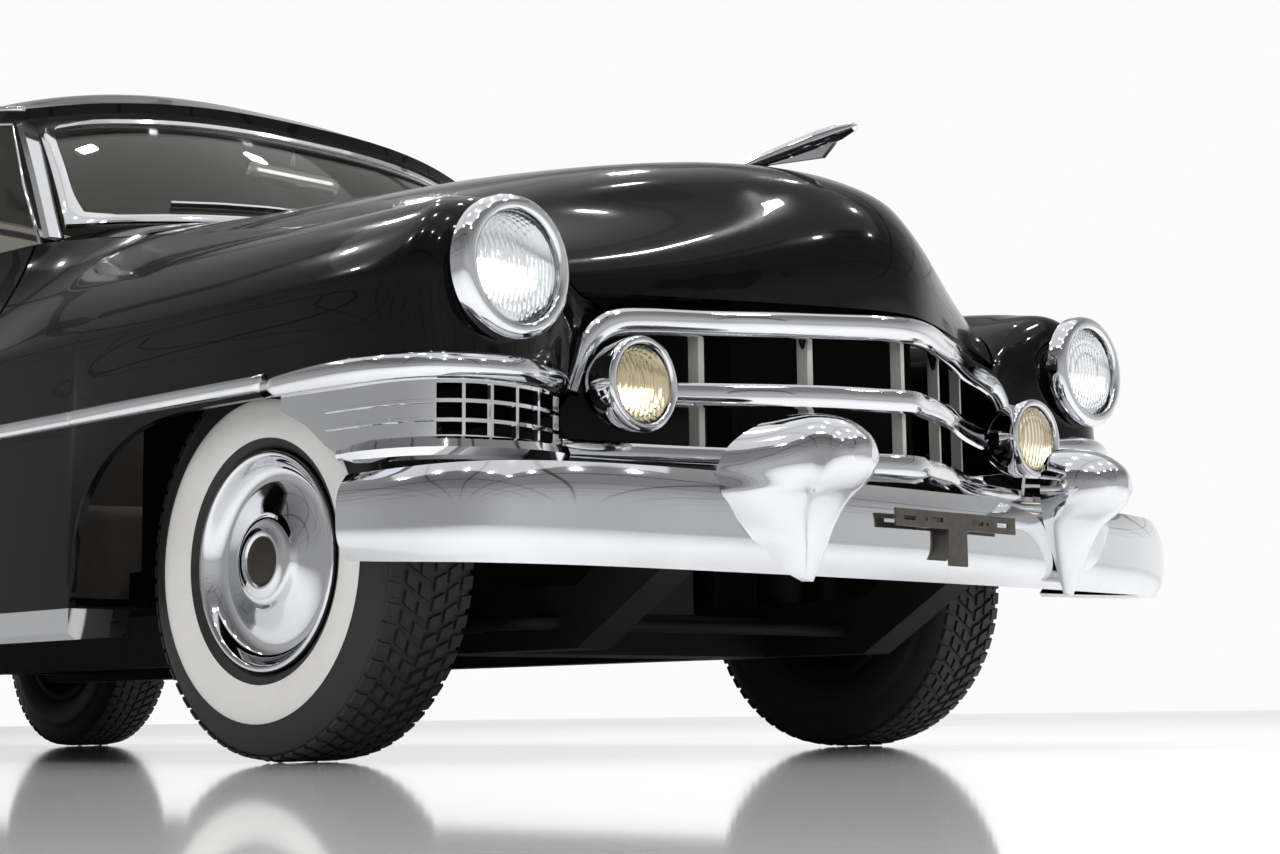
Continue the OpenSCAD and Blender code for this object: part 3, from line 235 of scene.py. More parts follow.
# Near-black painted shade for the radiator, the car's floor and the boot liners, which are seen only in
# shade
painted_shade_black = mottled("painted shade black", (0.002, 0.002, 0.002), (0.005, 0.005, 0.005),
                     scale=30.0, rough=0.8, grain=0.3, grain_scale=300.0, specular_ior_level=0.1)
handle_black = mottled("moulded black", (0.010, 0.010, 0.011), (0.016, 0.016, 0.016),
                       scale=60.0, rough=0.22, grain=0.05)
headliner = mottled("roof lining", (0.26, 0.25, 0.23), (0.33, 0.32, 0.30),
                    scale=25.0, rough=0.8, grain=0.3, grain_scale=900.0)
medal = mottled("dark medallion", (0.035, 0.028, 0.024), (0.07, 0.055, 0.045),
                scale=160.0, rough=0.35, grain=0.6, grain_scale=700.0, metallic=0.6)
plain_steel = mottled("plain steel", (0.09, 0.085, 0.08), (0.19, 0.17, 0.14),
                      scale=60.0, rough=0.30, grain=0.1, metallic=0.9)
print("rubber, lining and dark metals ready")

# %% [markdown]
# The bench cloth is a ribbed weave, so a wave gives the ribs and a fine noise the
# threads. Lamp glasses are clear, or tinted amber, and the mirror bowl behind does the
# rest. A tail lamp is moulded in small facets, which a cell pattern draws and raises.

# %% Bench cloth and lamp glass
cloth = Finish("bench cloth", (0.12, 0.115, 0.11), sheen_weight=0.3)
rib = cloth.node("TexWave", settings={"bands_direction": "X"}, Vector=cloth.place(), Scale=60.0)
weave = cloth.noise(500.0)
cloth.set("Base Color", cloth.between(rib * 0.6 + weave * 0.4, (0.085, 0.08, 0.078), (0.17, 0.16, 0.155)))
cloth.set("Roughness", 0.75 + weave * 0.2)
cloth.bump(rib * 0.7 + weave * 0.3, strength=0.5, distance=0.002)

lamp_glass = Finish("headlamp glass", (0.94, 0.95, 0.95), roughness=0.02, transmission_weight=1.0, ior=1.3)
fog_glass = Finish("fog lamp glass", (0.80, 0.73, 0.58), roughness=0.03, transmission_weight=1.0, ior=1.3)
red_glass = Finish("tail lamp glass", (0.42, 0.012, 0.012), roughness=0.08, coat_weight=0.6)
facets = red_glass.node("TexVoronoi", settings={"feature": "F1"}, Vector=red_glass.place(), Scale=120.0)
red_glass.set("Base Color", red_glass.between(facets, (0.50, 0.02, 0.02), (0.25, 0.004, 0.004)))
red_glass.bump(facets, strength=0.4, distance=0.002)
bowl_metal = Finish("lamp bowl", (0.80, 0.82, 0.84), metallic=1.0, roughness=0.12)
silver_paint = Finish("dull silver", (0.62, 0.61, 0.58), metallic=0.35)
silver_paint.set("Roughness", 0.30 + silver_paint.noise(30.0) * 0.12)
print("cloth and lamp glasses ready")

# %% [markdown]
# The stage is a pale floor, polished so far that it mirrors the car. It is a plain grid,
# much wider than the picture. Like every later piece it is shaped in a bmesh by an
# operator, and as_object turns the bmesh into an object with its finishes.

# %% Floor
FLOOR_HALF = 60.0


def as_object(bm, name, *finishes):
    mesh = bpy.data.meshes.new(name)
    bm.to_mesh(mesh)
    bm.free()
    for finish in finishes:
        mesh.materials.append(finish.material)
    made = bpy.data.objects.new(name, mesh)
    bpy.context.scene.collection.objects.link(made)
    return made


floor_finish = Finish("studio floor", (0.80, 0.80, 0.81))
floor_finish.set("Roughness", 0.035 + floor_finish.noise(0.8, detail=3.0) * 0.04)
bm = bmesh.new()
bmesh.ops.create_grid(bm, x_segments=2, y_segments=2, size=FLOOR_HALF)
studio_floor = as_object(bm, "studio_floor", floor_finish)
print("floor", 2 * FLOOR_HALF, "m across")

# %% [markdown]
# The white room round the stage is a world shader. The camera and the glass see it as
# plain white. Bright metal and paint mirror a room that is dimmer overhead, behind the
# camera and on the car's right, with thin dark beams across its ceiling, so that black
# paint stays black and the trim has something dark to mirror. What the room gives to matt
# surfaces is set apart from that, so that colours come out as they are written.

# %% Room
WHITE_SEEN, MATT_LIGHT = 0.97, 0.42
VIEW_AHEAD, VIEW_LEFT = (0.718, 0.696, 0.0), (-0.696, 0.718, 0.0)
BEAM_SPACING = {"X": 0.55, "Y": 0.40}
BEAM_WIDTH, BEAM_DARKNESS, LOWEST_RISE = 0.05, 0.75, 0.08

room = bpy.data.worlds.new("white room")
bpy.context.scene.world = room
room.use_nodes = True
sky = room.node_tree
toward = Wire(sky, new_node(sky, "TexCoord").outputs["Generated"])
parts = new_node(sky, "SeparateXYZ", Vector=toward).outputs
height = Wire(sky, parts["Z"])


def along(direction):
    made = new_node(sky, "VectorMath", {"operation": "DOT_PRODUCT"}, _0=toward, _1=direction)
    return Wire(sky, made.outputs["Value"])


def eased(value, start, end, first, last):
    made = new_node(sky, "MapRange", {"interpolation_type": "SMOOTHSTEP"},
                    _0=value, _1=start, _2=end, _3=first, _4=last)
    return Wire(sky, made.outputs[0])


ceiling = eased(height, start=0.12, end=0.60, first=1.0, last=0.45)
wall = eased(along(VIEW_AHEAD), start=-0.1, end=0.75, first=0.50, last=0.95)
dim_side = eased(along(VIEW_LEFT), start=-0.2, end=0.8, first=1.0, last=0.70)
rise = height.math("MAXIMUM", LOWEST_RISE)
beams = 1.0
for axis, spacing in BEAM_SPACING.items():
    across_ceiling = Wire(sky, parts[axis]).math("DIVIDE", rise)
    on_beam = across_ceiling.math("PINGPONG", spacing) < BEAM_WIDTH * spacing
    darkness = eased(height, start=0.10, end=0.25, first=0.0, last=BEAM_DARKNESS)
    beams = beams * (1 - on_beam * darkness)
path = new_node(sky, "LightPath").outputs
seen = Wire(sky, path["Is Camera Ray"]) + Wire(sky, path["Is Transmission Ray"])
matt = Wire(sky, path["Is Diffuse Ray"])
mirrored_room = (1 - seen) * (1 - matt) * (wall * ceiling * dim_side * beams)
background = sky.nodes["Background"]
background.inputs["Color"].default_value = (1.0, 1.0, 1.0, 1.0)
feed(sky, background.inputs["Strength"], seen * WHITE_SEEN + matt * MATT_LIGHT + mirrored_room)
print("room seen at", WHITE_SEEN, "and matt light at", MATT_LIGHT)

# %% [markdown]
# A hall is lit by rows of small lamps, which show as stars in the paint and the trim.
# Above them hangs one broad panel, and three fills that no surface mirrors lift the
# shadows from overhead, from the car's right and from ahead of it.

# %% Lamps of the hall
LAMP_ROWS, LAMP_COLUMNS = 5, 4
FIRST_LAMP, LAMP_STEP = (-4.2, -6.2, 6.2), (2.4, 2.5)
LAMP_SIZE, LAMP_WATTS = (0.20, 0.20), 26


def soft_lamp(name, place, aim, size, watts, mirrored=True):
    lamp = bpy.data.lights.new(name, "AREA")
    lamp.shape = "RECTANGLE"
    lamp.size, lamp.size_y = size
    lamp.energy = watts
    made = bpy.data.objects.new(name, lamp)
    made.location = place
    made.rotation_euler = (Vector(aim) - Vector(place)).to_track_quat("-Z", "Y").to_euler()
    made.visible_glossy = mirrored
    bpy.context.scene.collection.objects.link(made)


soft_lamp("top panel", place=(0.0, -0.5, 7.4), aim=(0, -0.5, 0), size=(10.0, 12.0), watts=190)
soft_lamp("overhead fill", place=(0.0, -1.5, 7.0), aim=(0, -1.5, 0), size=(7.0, 9.0), watts=130,
          mirrored=False)
soft_lamp("side fill", place=(-7.0, -4.0, 2.6), aim=(0, -1.2, 0.5), size=(2.4, 3.0), watts=80,
          mirrored=False)
soft_lamp("front fill", place=(4.5, -7.5, 3.0), aim=(0, -1.5, 0.5), size=(3.0, 2.0), watts=130,
          mirrored=False)
for row in range(LAMP_ROWS):
    for column in range(LAMP_COLUMNS):
        x, y = FIRST_LAMP[0] + LAMP_STEP[0] * column, FIRST_LAMP[1] + LAMP_STEP[1] * row
        soft_lamp(f"ceiling {row} {column}", (x, y, FIRST_LAMP[2]), (x, y, 0), LAMP_SIZE, LAMP_WATTS)
print("lamps", LAMP_ROWS * LAMP_COLUMNS, "small and 4 broad")

# %% [markdown]
# A pressed panel is one smooth sweep. The CAD panel is a coarse cage of the same
# sweep: its triangles are joined back into four-sided faces, its rims are creased and
# it is subdivided. Subdivision pulls a surface inside its cage, so the cage is pushed
# out by what it lost until the smooth panel passes through the CAD points. Every piece
# is then told which CAD body carries it and which CAD nodes it replaces.

# %% Smooth panels from CAD cages
FOLD = 38.0
SAME_POINT, SQUARE_ENOUGH = 2e-5, 70.0
PANEL_LEVELS, PUSHES, PUSH = 2, 3, 0.9


def copied_cage(node, fold=FOLD):
    bm = bmesh.new()
    bm.from_mesh(frame["nodes"][node].data)
    bmesh.ops.remove_doubles(bm, verts=bm.verts, dist=SAME_POINT)
    bmesh.ops.join_triangles(bm, faces=bm.faces, angle_face_threshold=math.radians(fold),
                             angle_shape_threshold=math.radians(SQUARE_ENOUGH))
    return bm


def cage_skin(node):
    cage = copied_cage(node)
    skin = BVHTree.FromBMesh(cage)
    cage.free()
    return skin


def smooth_faces(bm):
    for face in bm.faces:
        face.smooth = True


def hold_rims(bm, fold):
    crease = bm.edges.layers.float.new("crease_edge")
    for edge in bm.edges:
        if len(edge.link_faces) != 2 or edge.calc_face_angle(0.0) > math.radians(fold):
            edge[crease] = 1.0


def subdivide(obj, levels):
    skin = obj.modifiers.new("smooth", "SUBSURF")
    skin.levels = skin.render_levels = levels


def through_points(obj):
    goal = [vertex.co.copy() for vertex in obj.data.vertices]
    for _ in range(PUSHES):
        subdivided = obj.evaluated_get(bpy.context.evaluated_depsgraph_get())
        smoothed = subdivided.to_mesh()
        lost = [point - smoothed.vertices[i].co for i, point in enumerate(goal)]
        for vertex, step in zip(obj.data.vertices, lost):
            vertex.co += step * PUSH
        subdivided.to_mesh_clear()
        obj.data.update()


def sharpen(obj, fold):
    obj.data.set_sharp_from_angle(angle=math.radians(fold))


def show(obj, body, slot, *nodes):
    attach(obj, body)
    if nodes:
        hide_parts(*nodes)


def swept(node, slot, *finishes, fold=FOLD, hold=None, lined=None, reshaped=None):
    bm = copied_cage(node, fold)
    if reshaped:
        reshaped(bm)
    hold_rims(bm, hold or fold)
    smooth_faces(bm)
    for face in bm.faces:
        face.material_index = int(bool(lined and lined(face)))
    made = as_object(bm, node + "_panel", *finishes)
    subdivide(made, PANEL_LEVELS)
    through_points(made)
    sharpen(made, hold or fold)
    show(made, BODY_OF[node], slot, node)


hood_cage = copied_cage("hood")
print("hood", len(frame["nodes"]["hood"].data.polygons), "triangles in", len(hood_cage.faces), "faces")
hood_cage.free()

# %% [markdown]
# The painted panels come first. Where one CAD solid has two finishes, such as a door
# with its cloth lining or the roof with its ceiling, a face's direction or place decides.
# The front pillars are bright, so they are told apart by how far forward they stand.

# %% Painted panels
for node in ("hood", "fender_l", "fender_r", "cowl", "quarter_l", "quarter_r", "deck_lid", "rear_cowl",
             "tail_panel"):
    swept(node, "paint", lacquer)


def facing_in(face):
    return face.normal.x * face.calc_center_median().x < -0.5


def facing_down(face):
    return face.normal.z < -0.3


def on_front_pillar(face):
    return face.calc_center_median().y < -0.4


for node in ("door_l", "door_r"):
    swept(node, "paint", lacquer, cloth, lined=facing_in)
swept("roof", "paint", lacquer, headliner, lined=facing_down)
swept("pillars", "paint", lacquer, chrome, lined=on_front_pillar)
print("painted panels made")

# %% [markdown]
# Bumpers and mouldings are pressed too. The mouldings' sections are round, so their
# folds are held only where they are really sharp. The two bullets on the front bumper
# stand on a broad flank that runs out along the bar: the outermost point at each height
# is drawn outward and laid just ahead of the bar's face, which a ray finds.

# %% Bumpers, mouldings, grille and window glass
MOULDING_HOLD, BULLET_FOLD = 75.0, 30.0
BAR_LOW, BAR_TOP, AHEAD_OF_BAR = 0.305, 0.448, 0.0006
FLANK, FLANK_Z, FLANK_H, LEAST_FLANK = 0.110, 0.420, 0.135, 0.005
UPRIGHT_TALL, UPRIGHT_WIDE = 0.06, 0.03
FAR_AHEAD = -4.0
bar_skin = cage_skin("front_bumper")


def flare_flank(bm):
    outermost = {}
    for vert in bm.verts:
        level = (vert.co.x > 0, round(vert.co.z, 4))
        if abs(vert.co.x) > abs(outermost.setdefault(level, vert).co.x):
            outermost[level] = vert
    for vert in outermost.values():
        reach = FLANK * max(0.0, 1 - ((vert.co.z - FLANK_Z) / FLANK_H) ** 2)
        vert.co.x += math.copysign(reach, vert.co.x)
        start = Vector((vert.co.x, FAR_AHEAD, min(max(vert.co.z, BAR_LOW), BAR_TOP)))
        touched = bar_skin.ray_cast(start, Vector((0, 1, 0)))[0]
        if reach > LEAST_FLANK and touched:
            vert.co.y = touched.y - AHEAD_OF_BAR


def spread(face, axis):
    reach = [vert.co[axis] for vert in face.verts]
    return max(reach) - min(reach)


def is_upright(face):
    return spread(face, 2) > UPRIGHT_TALL and spread(face, 0) < UPRIGHT_WIDE


for node in ("front_bumper", "rear_bumper", "window_frames"):
    swept(node, "chrome", chrome)
for node in ("side_spears", "door_spear_l", "door_spear_r"):
    swept(node, "chrome", chrome, hold=MOULDING_HOLD)
swept("bumper_guards", "chrome", chrome, fold=BULLET_FOLD, reshaped=flare_flank)
swept("grille", "chrome", chrome, silver_paint, lined=is_upright)
for node in ("windshield", "rear_window", "door_glass_l", "door_glass_r", "quarter_glass"):
    swept(node, "glass", window)
print("bumpers, mouldings, grille and window glass made")

# %% [markdown]
# Frame, engine and small fittings have the right shape already. They stay as CAD
# pieces and only get a finish.

# %% Finishes on the CAD pieces that stay
STAY = {
    # The frame pieces take the black frame steel darkened as painted shade
    frame_black_and_shade: ("frame_rails", "frame_cross", "front_arms", "knuckle_l", "knuckle_r", "rear_axle",
                  "rear_springs", "steering_column", "hinge_posts"),
    engine_grey: ("engine",),
    # The radiator and the floor take the near-black painted shade
    painted_shade_black: ("radiator", "floor"),
    plain_steel: ("plate_bracket",),
    chrome: ("rockers", "hood_ornament", "wipers"),
    lacquer: ("dashboard",),
    handle_black: ("steering_wheel",),
}
for finish, names in STAY.items():
    for name in names:
        data = frame["nodes"][name].data
        data.materials.clear()
        data.materials.append(finish.material)
print("CAD pieces that stay", sum(len(names) for names in STAY.values()))

# %% [markdown]
# The bright ends under the headlamps are flat strips crossed into an open crate. They
# need no smoothing, only soft shading where the strips run round the corner. In a copy
# of the CAD piece each upright face takes the average direction of its neighbours.

# %% Crate under the headlamps
CRATE_JOIN, CRATE_FOLD, CRATE_REACH = 1.0, 30.0, 0.035
UPRIGHT_LEAN, ALIKE = 0.35, 0.8


def even_normals(obj, reach):
    mesh = obj.data
    upright = [p for p in mesh.polygons if abs(p.normal.z) < UPRIGHT_LEAN]
    middles = numpy.array([p.center.xy for p in upright])
    normals = numpy.array([p.normal for p in upright])
    areas = numpy.array([p.area for p in upright])
    corners = [list(corner.vector) for corner in mesh.corner_normals]
    for polygon in upright:
        alike = areas * (normals @ numpy.array(polygon.normal) > ALIKE)
        for corner in polygon.loop_indices:
            here = mesh.vertices[mesh.loops[corner].vertex_index].co.xy
            weight = alike * numpy.exp(-((middles - numpy.array(here)) ** 2).sum(axis=1) / reach ** 2)
            corners[corner] = list(weight @ normals)
    mesh.normals_split_custom_set([Vector(c).normalized() for c in corners])


bm = copied_cage("end_grilles", CRATE_JOIN)
smooth_faces(bm)
crate = as_object(bm, "end_grilles_crate", chrome)
sharpen(crate, CRATE_FOLD)
even_normals(crate, CRATE_REACH)
show(crate, "body", "chrome", "end_grilles")
print("crate faces", len(crate.data.polygons))

# %% [markdown]
# Thin trim follows an edge that the CAD already has. The edge is read off the pane as
# a chain of points, and a small ring is extruded from point to point along it, turned
# at each step by as much as the path turns. A ring may be oval, shallower along Y.

# %% Trim along an edge
WINDOW_TRIM_R = 0.0042


def edge_chains(node, is_outer):
    bm = copied_cage(node)
    sheet = {face for face in bm.faces if is_outer(face)}
    rim = [edge for edge in bm.edges if sum(face in sheet for face in edge.link_faces) == 1]
    chains = []
    while rim:
        chain = list(rim.pop().verts)
        while chain[-1] != chain[0]:
            step = next(edge for edge in rim if chain[-1] in edge.verts)
            rim.remove(step)
            chain.append(step.other_vert(chain[-1]))
        chains.append([vert.co.copy() for vert in chain[:-1]])
    bm.free()
    return chains


def new_verts(geom):
    return [part for part in geom if isinstance(part, bmesh.types.BMVert)]


def tube(points, radius, finish, name, closed=False, sides=10, oval=1.0):
    points = [Vector(p) for p in points]
    radii = radius if isinstance(radius, list) else [radius] * len(points)
    after = points[1:] + (points[:1] if closed else points[-1:])
    before = (points[-1:] if closed else points[:1]) + points[:-1]
    heading = [b - a for a, b in zip(before, after)]
    turn = heading[0].to_track_quat("Z", "Y").to_matrix()
    if oval != 1.0:
        depth = Vector((0, 1, 0))
        turn = Matrix((heading[0].cross(depth).normalized(), depth, heading[0].normalized())).transposed()
    start = Matrix.Translation(points[0]) @ turn.to_4x4() @ Matrix.Diagonal((1, oval, 1, 1))
    bm = bmesh.new()
    bmesh.ops.create_circle(bm, segments=sides, radius=radii[0], cap_ends=not closed, matrix=start)
    first = ring = list(bm.edges)
    for i in range(1, len(points)):
        grown = bmesh.ops.extrude_edge_only(bm, edges=ring)["geom"]
        fresh = new_verts(grown)
        ring = [part for part in grown
                if isinstance(part, bmesh.types.BMEdge) and all(vert in fresh for vert in part.verts)]
        turn = heading[i - 1].rotation_difference(heading[i]).to_matrix()
        bmesh.ops.rotate(bm, verts=fresh, cent=points[i - 1], matrix=turn)
        bmesh.ops.translate(bm, verts=fresh, vec=points[i] - points[i - 1])
        growth = radii[i] / radii[i - 1]
        bmesh.ops.scale(bm, verts=fresh, vec=[growth] * 3, space=Matrix.Translation(-points[i]))
    if closed:
        bmesh.ops.bridge_loops(bm, edges=first + ring)
    else:
        bmesh.ops.contextual_create(bm, geom=ring)
    bmesh.ops.recalc_face_normals(bm, faces=bm.faces)
    for face in bm.faces:
        face.smooth = len(face.verts) == 4
    return as_object(bm, name, finish)


def on_outside(face):
    return face.normal.x * face.calc_center_median().x > 0.3


for node in ("door_glass_l", "door_glass_r", "quarter_glass"):
    outlines = edge_chains(node, on_outside)
    for number, outline in enumerate(outlines):
        trim = tube(outline, WINDOW_TRIM_R, chrome, f"{node}_trim_{number}", closed=True)
        show(trim, BODY_OF[node], "chrome")
    print("trim round", node, [len(outline) for outline in outlines], "points")

# %% [markdown]
# The upper grille moulding is one heavy rounded bar that turns down at its ends. A few
# points along it are enough: a smooth curve runs through them, and the tube that follows
# it is slimmer in the legs. Drip rails along the roof's edge are plain thin tubes.

# %% Grille brow and drip rails
# Points [x, y, z] of the upper grille moulding, from the middle outward
BROW = [(0.0, -2.566, 0.748), (0.190, -2.504, 0.743), (0.375, -2.418, 0.737), (0.480, -2.381, 0.733),
        (0.545, -2.362, 0.724), (0.588, -2.352, 0.694), (0.610, -2.347, 0.645), (0.626, -2.343, 0.602)]
BROW_STEPS, BROW_OVAL = 6, 0.70
LEG_R, BROW_EXTRA_R, LEG_Z, SHOULDER_H = 0.0145, 0.0095, 0.640, 0.080
RAIL_R, RAIL_OUT, RAIL_FROM_X = 0.0055, 0.003, 0.61


def eased_path(points, steps):
    points = [Vector(p) for p in points]
    points = [2 * points[0] - points[1]] + points + [2 * points[-1] - points[-2]]
    route = []
    for a, b, c, d in zip(points, points[1:], points[2:], points[3:]):
        for k in range(steps):
            t = k / steps
            route.append(0.5 * (2 * b + (c - a) * t + (2 * a - 5 * b + 4 * c - d) * t ** 2
                                + (3 * b - a - 3 * c + d) * t ** 3))
    return route + [points[-2]]


brow_path = eased_path([(-x, y, z) for x, y, z in reversed(BROW[1:])] + BROW, BROW_STEPS)
brow_r = [LEG_R + BROW_EXTRA_R * min(1.0, max(0.0, (p.z - LEG_Z) / SHOULDER_H)) for p in brow_path]
show(tube(brow_path, brow_r, chrome, "grille_brow", sides=20, oval=BROW_OVAL), "body", "chrome")

roof_edge = edge_chains("roof", lambda face: face.normal.z > 0.1)[0]
for side, tag in SIDES:
    rail = [p + Vector((side * RAIL_OUT, 0, 0)) for p in roof_edge if p.x * side > RAIL_FROM_X]
    rail.sort(key=lambda p: p.y)
    show(tube(rail, RAIL_R, chrome, f"drip_rail_{tag}"), "body", "chrome")
print("brow", len(brow_path), "points, drip rails", len(rail), "points each")

# %% [markdown]
# A tyre is a turned form: half its section is drawn as a chain of edges, mirrored and
# spun round the axle. The white band is a step in the section, so it gets its own faces.
# One pitch of tread, a block in each row, is cut once and spun as copies round the crown.

# %% Tyres
WHITE_IN, WHITE_OUT = 0.2135, 0.280
PITCHES, TURN_STEPS = 64, 96
BLOCK_TALL, BLOCK_SUNK, BLOCK_TAPER, TOP_CUT = 0.0090, 0.0050, 0.10, 0.0010
SHOULDER_X, SHOULDER_DROP, CORNER_X, CORNER_DROP = 0.07, 0.0015, 0.080, 0.0030

# Points [radius, place along the axle] from the rim to the crown
half_section = [(0.1935, 0.080), (0.1990, 0.0880), (0.2050, 0.0930), (0.2110, 0.0955), (WHITE_IN, 0.0975),
                (0.2250, 0.1020), (0.2420, 0.1070), (0.2620, 0.1090), (0.2720, 0.1085), (WHITE_OUT, 0.1070),
                (0.2830, 0.1045), (0.2960, 0.1035), (0.3120, 0.0990), (0.3260, 0.0930), (0.3350, 0.0860),
                (0.3390, 0.0760), (0.3392, 0.0500), (0.3396, 0.0200)]
section = half_section + [(r, -x) for r, x in reversed(half_section)]

# Each row of blocks: place along the axle, width, share of a pitch, slant
half_rows = [(0.0765, 0.026, 0.74, 0.12), (0.0455, 0.024, 0.70, 0.55), (0.0155, 0.023, 0.66, 0.45)]
block_rows = half_rows + [(-x, width, share, -slant) for x, width, share, slant in reversed(half_rows)]


def spun(chain, steps, finish_of=None):
    bm = bmesh.new()
    points = [bm.verts.new((x, 0.0, r)) for r, x in chain]
    edges = [bm.edges.new(pair) for pair in zip(points, points[1:])]
    bmesh.ops.spin(bm, geom=points + edges, cent=(0, 0, 0), axis=(1, 0, 0), angle=math.tau, steps=steps,
                   use_merge=True, use_duplicate=False)
    bmesh.ops.remove_doubles(bm, verts=bm.verts, dist=1e-5)
    bmesh.ops.recalc_face_normals(bm, faces=bm.faces)
    smooth_faces(bm)
    if finish_of:
        for face in bm.faces:
            middle = face.calc_center_median()
            face.material_index = finish_of(math.hypot(middle.y, middle.z), middle.x)
    return bm


def tread_blocks():
    pitch = math.tau * TYRE_R / PITCHES
    bm = bmesh.new()
    for number, (x, width, share, slant) in enumerate(block_rows):
        at_shoulder = abs(x) > SHOULDER_X
        lowered = SHOULDER_DROP * at_shoulder
        stagger = (number % 2) * pitch * 0.5
        for vert in bmesh.ops.create_cube(bm, size=1.0)["verts"]:
            across, forward, up = vert.co
            taper = 1.0 - BLOCK_TAPER * (up > 0)
            vert.co = Vector((x + across * width * taper,
                              forward * pitch * share * taper + across * width * slant + stagger,
                              TYRE_R - BLOCK_SUNK - lowered + up * BLOCK_TALL - TOP_CUT * (up > 0)))
            if at_shoulder and abs(vert.co.x) > CORNER_X and up > 0:
                vert.co.z -= CORNER_DROP
    bmesh.ops.recalc_face_normals(bm, faces=bm.faces)
    seed = bm.verts[:] + bm.edges[:] + bm.faces[:]
    bmesh.ops.spin(bm, geom=seed, cent=(0, 0, 0), axis=(1, 0, 0), angle=math.tau * (PITCHES - 1) / PITCHES,
                   steps=PITCHES - 1, use_duplicate=True, use_merge=False)
    return bm


def set_on_hub(bm, side, hub):
    if side < 0:
        bmesh.ops.scale(bm, vec=(-1, 1, 1), verts=bm.verts)
        bmesh.ops.reverse_faces(bm, faces=bm.faces)
    bmesh.ops.translate(bm, vec=hub, verts=bm.verts)


blocks = tread_blocks()
block_mesh = bpy.data.meshes.new("tread_blocks")
blocks.to_mesh(block_mesh)
blocks.free()
WHEELS = [(end[0] + tag, side, f"{end}_wheel_{tag}", JOINTS[f"{end}_spin_{tag}"]["pos_m"])
          for end in ("front", "rear") for side, tag in reversed(SIDES)]
for tag, side, body, hub in WHEELS:
    bm = spun(section, TURN_STEPS, lambda r, x: int(WHITE_IN < r < WHITE_OUT and x > 0))
    bm.from_mesh(block_mesh)
    set_on_hub(bm, side, hub)
    show(as_object(bm, f"tyre_{tag}_rubber", rubber, white_band), body, "tyre", f"tyre_{tag}")
bpy.data.meshes.remove(block_mesh)
print("tyres", PITCHES, "pitches of tread each")

# %% [markdown]
# The wheel is a steel rim under a full chrome cover. The cover is a dish: a rolled
# lip, a broad hollow, and a raised boss with a plain dark disc in the middle. Rim, cover
# and disc are one turned chain, and a face's place in it decides its finish.

# %% Wheels and covers
DISC_R, LIP_INSIDE, RIM_R, COVER_BACK = 0.0425, 0.079, 0.17, 0.05
barrel = [(0.0, -0.036), (0.0560, -0.0360), (0.0600, -0.010), (0.1400, -0.0100), (0.1600, -0.0300),
          (0.1640, -0.0840), (0.1860, -0.0960), (0.2030, -0.0960), (0.2040, -0.0900), (0.1920, -0.0840),
          (0.1850, 0.0), (0.1880, 0.0800)]
cover = [(0.1925, 0.0865), (0.1925, 0.0925), (0.1890, 0.0960), (0.1835, 0.0950), (0.1790, 0.0905),
         (0.1740, 0.0800), (0.1660, 0.0690), (0.1550, 0.0635), (0.1400, 0.0640), (0.1200, 0.0690),
         (0.1000, 0.0765), (0.0860, 0.0830), (0.0800, 0.0865), (0.0775, 0.0930), (0.0735, 0.0965),
         (0.0660, 0.0975), (0.0560, 0.0985), (0.0520, 0.1010), (0.0480, 0.1020), (0.0440, 0.1010),
         (DISC_R, 0.0980)]
disc = [(0.0380, 0.0990), (0.0200, 0.1010), (0.0, 0.1015)]


def wheel_finish(r, x):
    if r < DISC_R and x > COVER_BACK:
        return 2
    return int(x < LIP_INSIDE and r > RIM_R or x < COVER_BACK)


for tag, side, body, hub in WHEELS:
    bm = spun(barrel + cover + disc, TURN_STEPS, wheel_finish)
    set_on_hub(bm, side, hub)
    # The inner rim takes the black frame steel darkened as painted shade
    show(as_object(bm, f"wheel_{tag}_cover", chrome, frame_black_and_shade, medal), body, "chrome", f"wheel_{tag}")
print("wheel covers", len(WHEELS))

# %% [markdown]
# A sealed-beam lamp is a bright rim, a fluted glass and a mirror bowl behind it. Rim
# and bowl are turned. The glass starts as a grid that is drawn into a disc, crowned and
# pressed into upright flutes, and extruding it to a flat back makes it a closed lens.
# Each lamp is set from the box of the CAD lamps that it replaces.

# %% Headlamps
FORWARD, REARWARD = math.radians(-90), math.radians(90)
FLUTE_COLUMNS, GLASS_ROWS = 6, 24
FLUTE_DEPTH, GLASS_BACK, GLASS_FOLD = 0.0026, 0.001, 40.0
HEADLAMP_R, HEADLAMP_SET = 0.117, 0.016

# Points [radius, place along the axis] of turned forms
headlamp_rim = [(HEADLAMP_R, -0.020), (0.1168, -0.002), (0.1140, 0.007), (0.1080, 0.013), (0.1000, 0.0155),
                (0.0925, 0.0140), (0.0895, 0.0090), (0.0885, 0.0020), (0.0885, -0.0190)]
headlamp_bowl = [(0.0878, -0.0030), (0.075, -0.010), (0.05, -0.0155), (0.02, -0.018), (0.0, -0.0185)]


def turned(chain, centre, finish, name, steps, facing=FORWARD):
    bm = spun(chain, steps)
    bmesh.ops.rotate(bm, cent=(0, 0, 0), matrix=Matrix.Rotation(facing, 3, "Z"), verts=bm.verts)
    bmesh.ops.translate(bm, vec=centre, verts=bm.verts)
    return as_object(bm, name, finish)


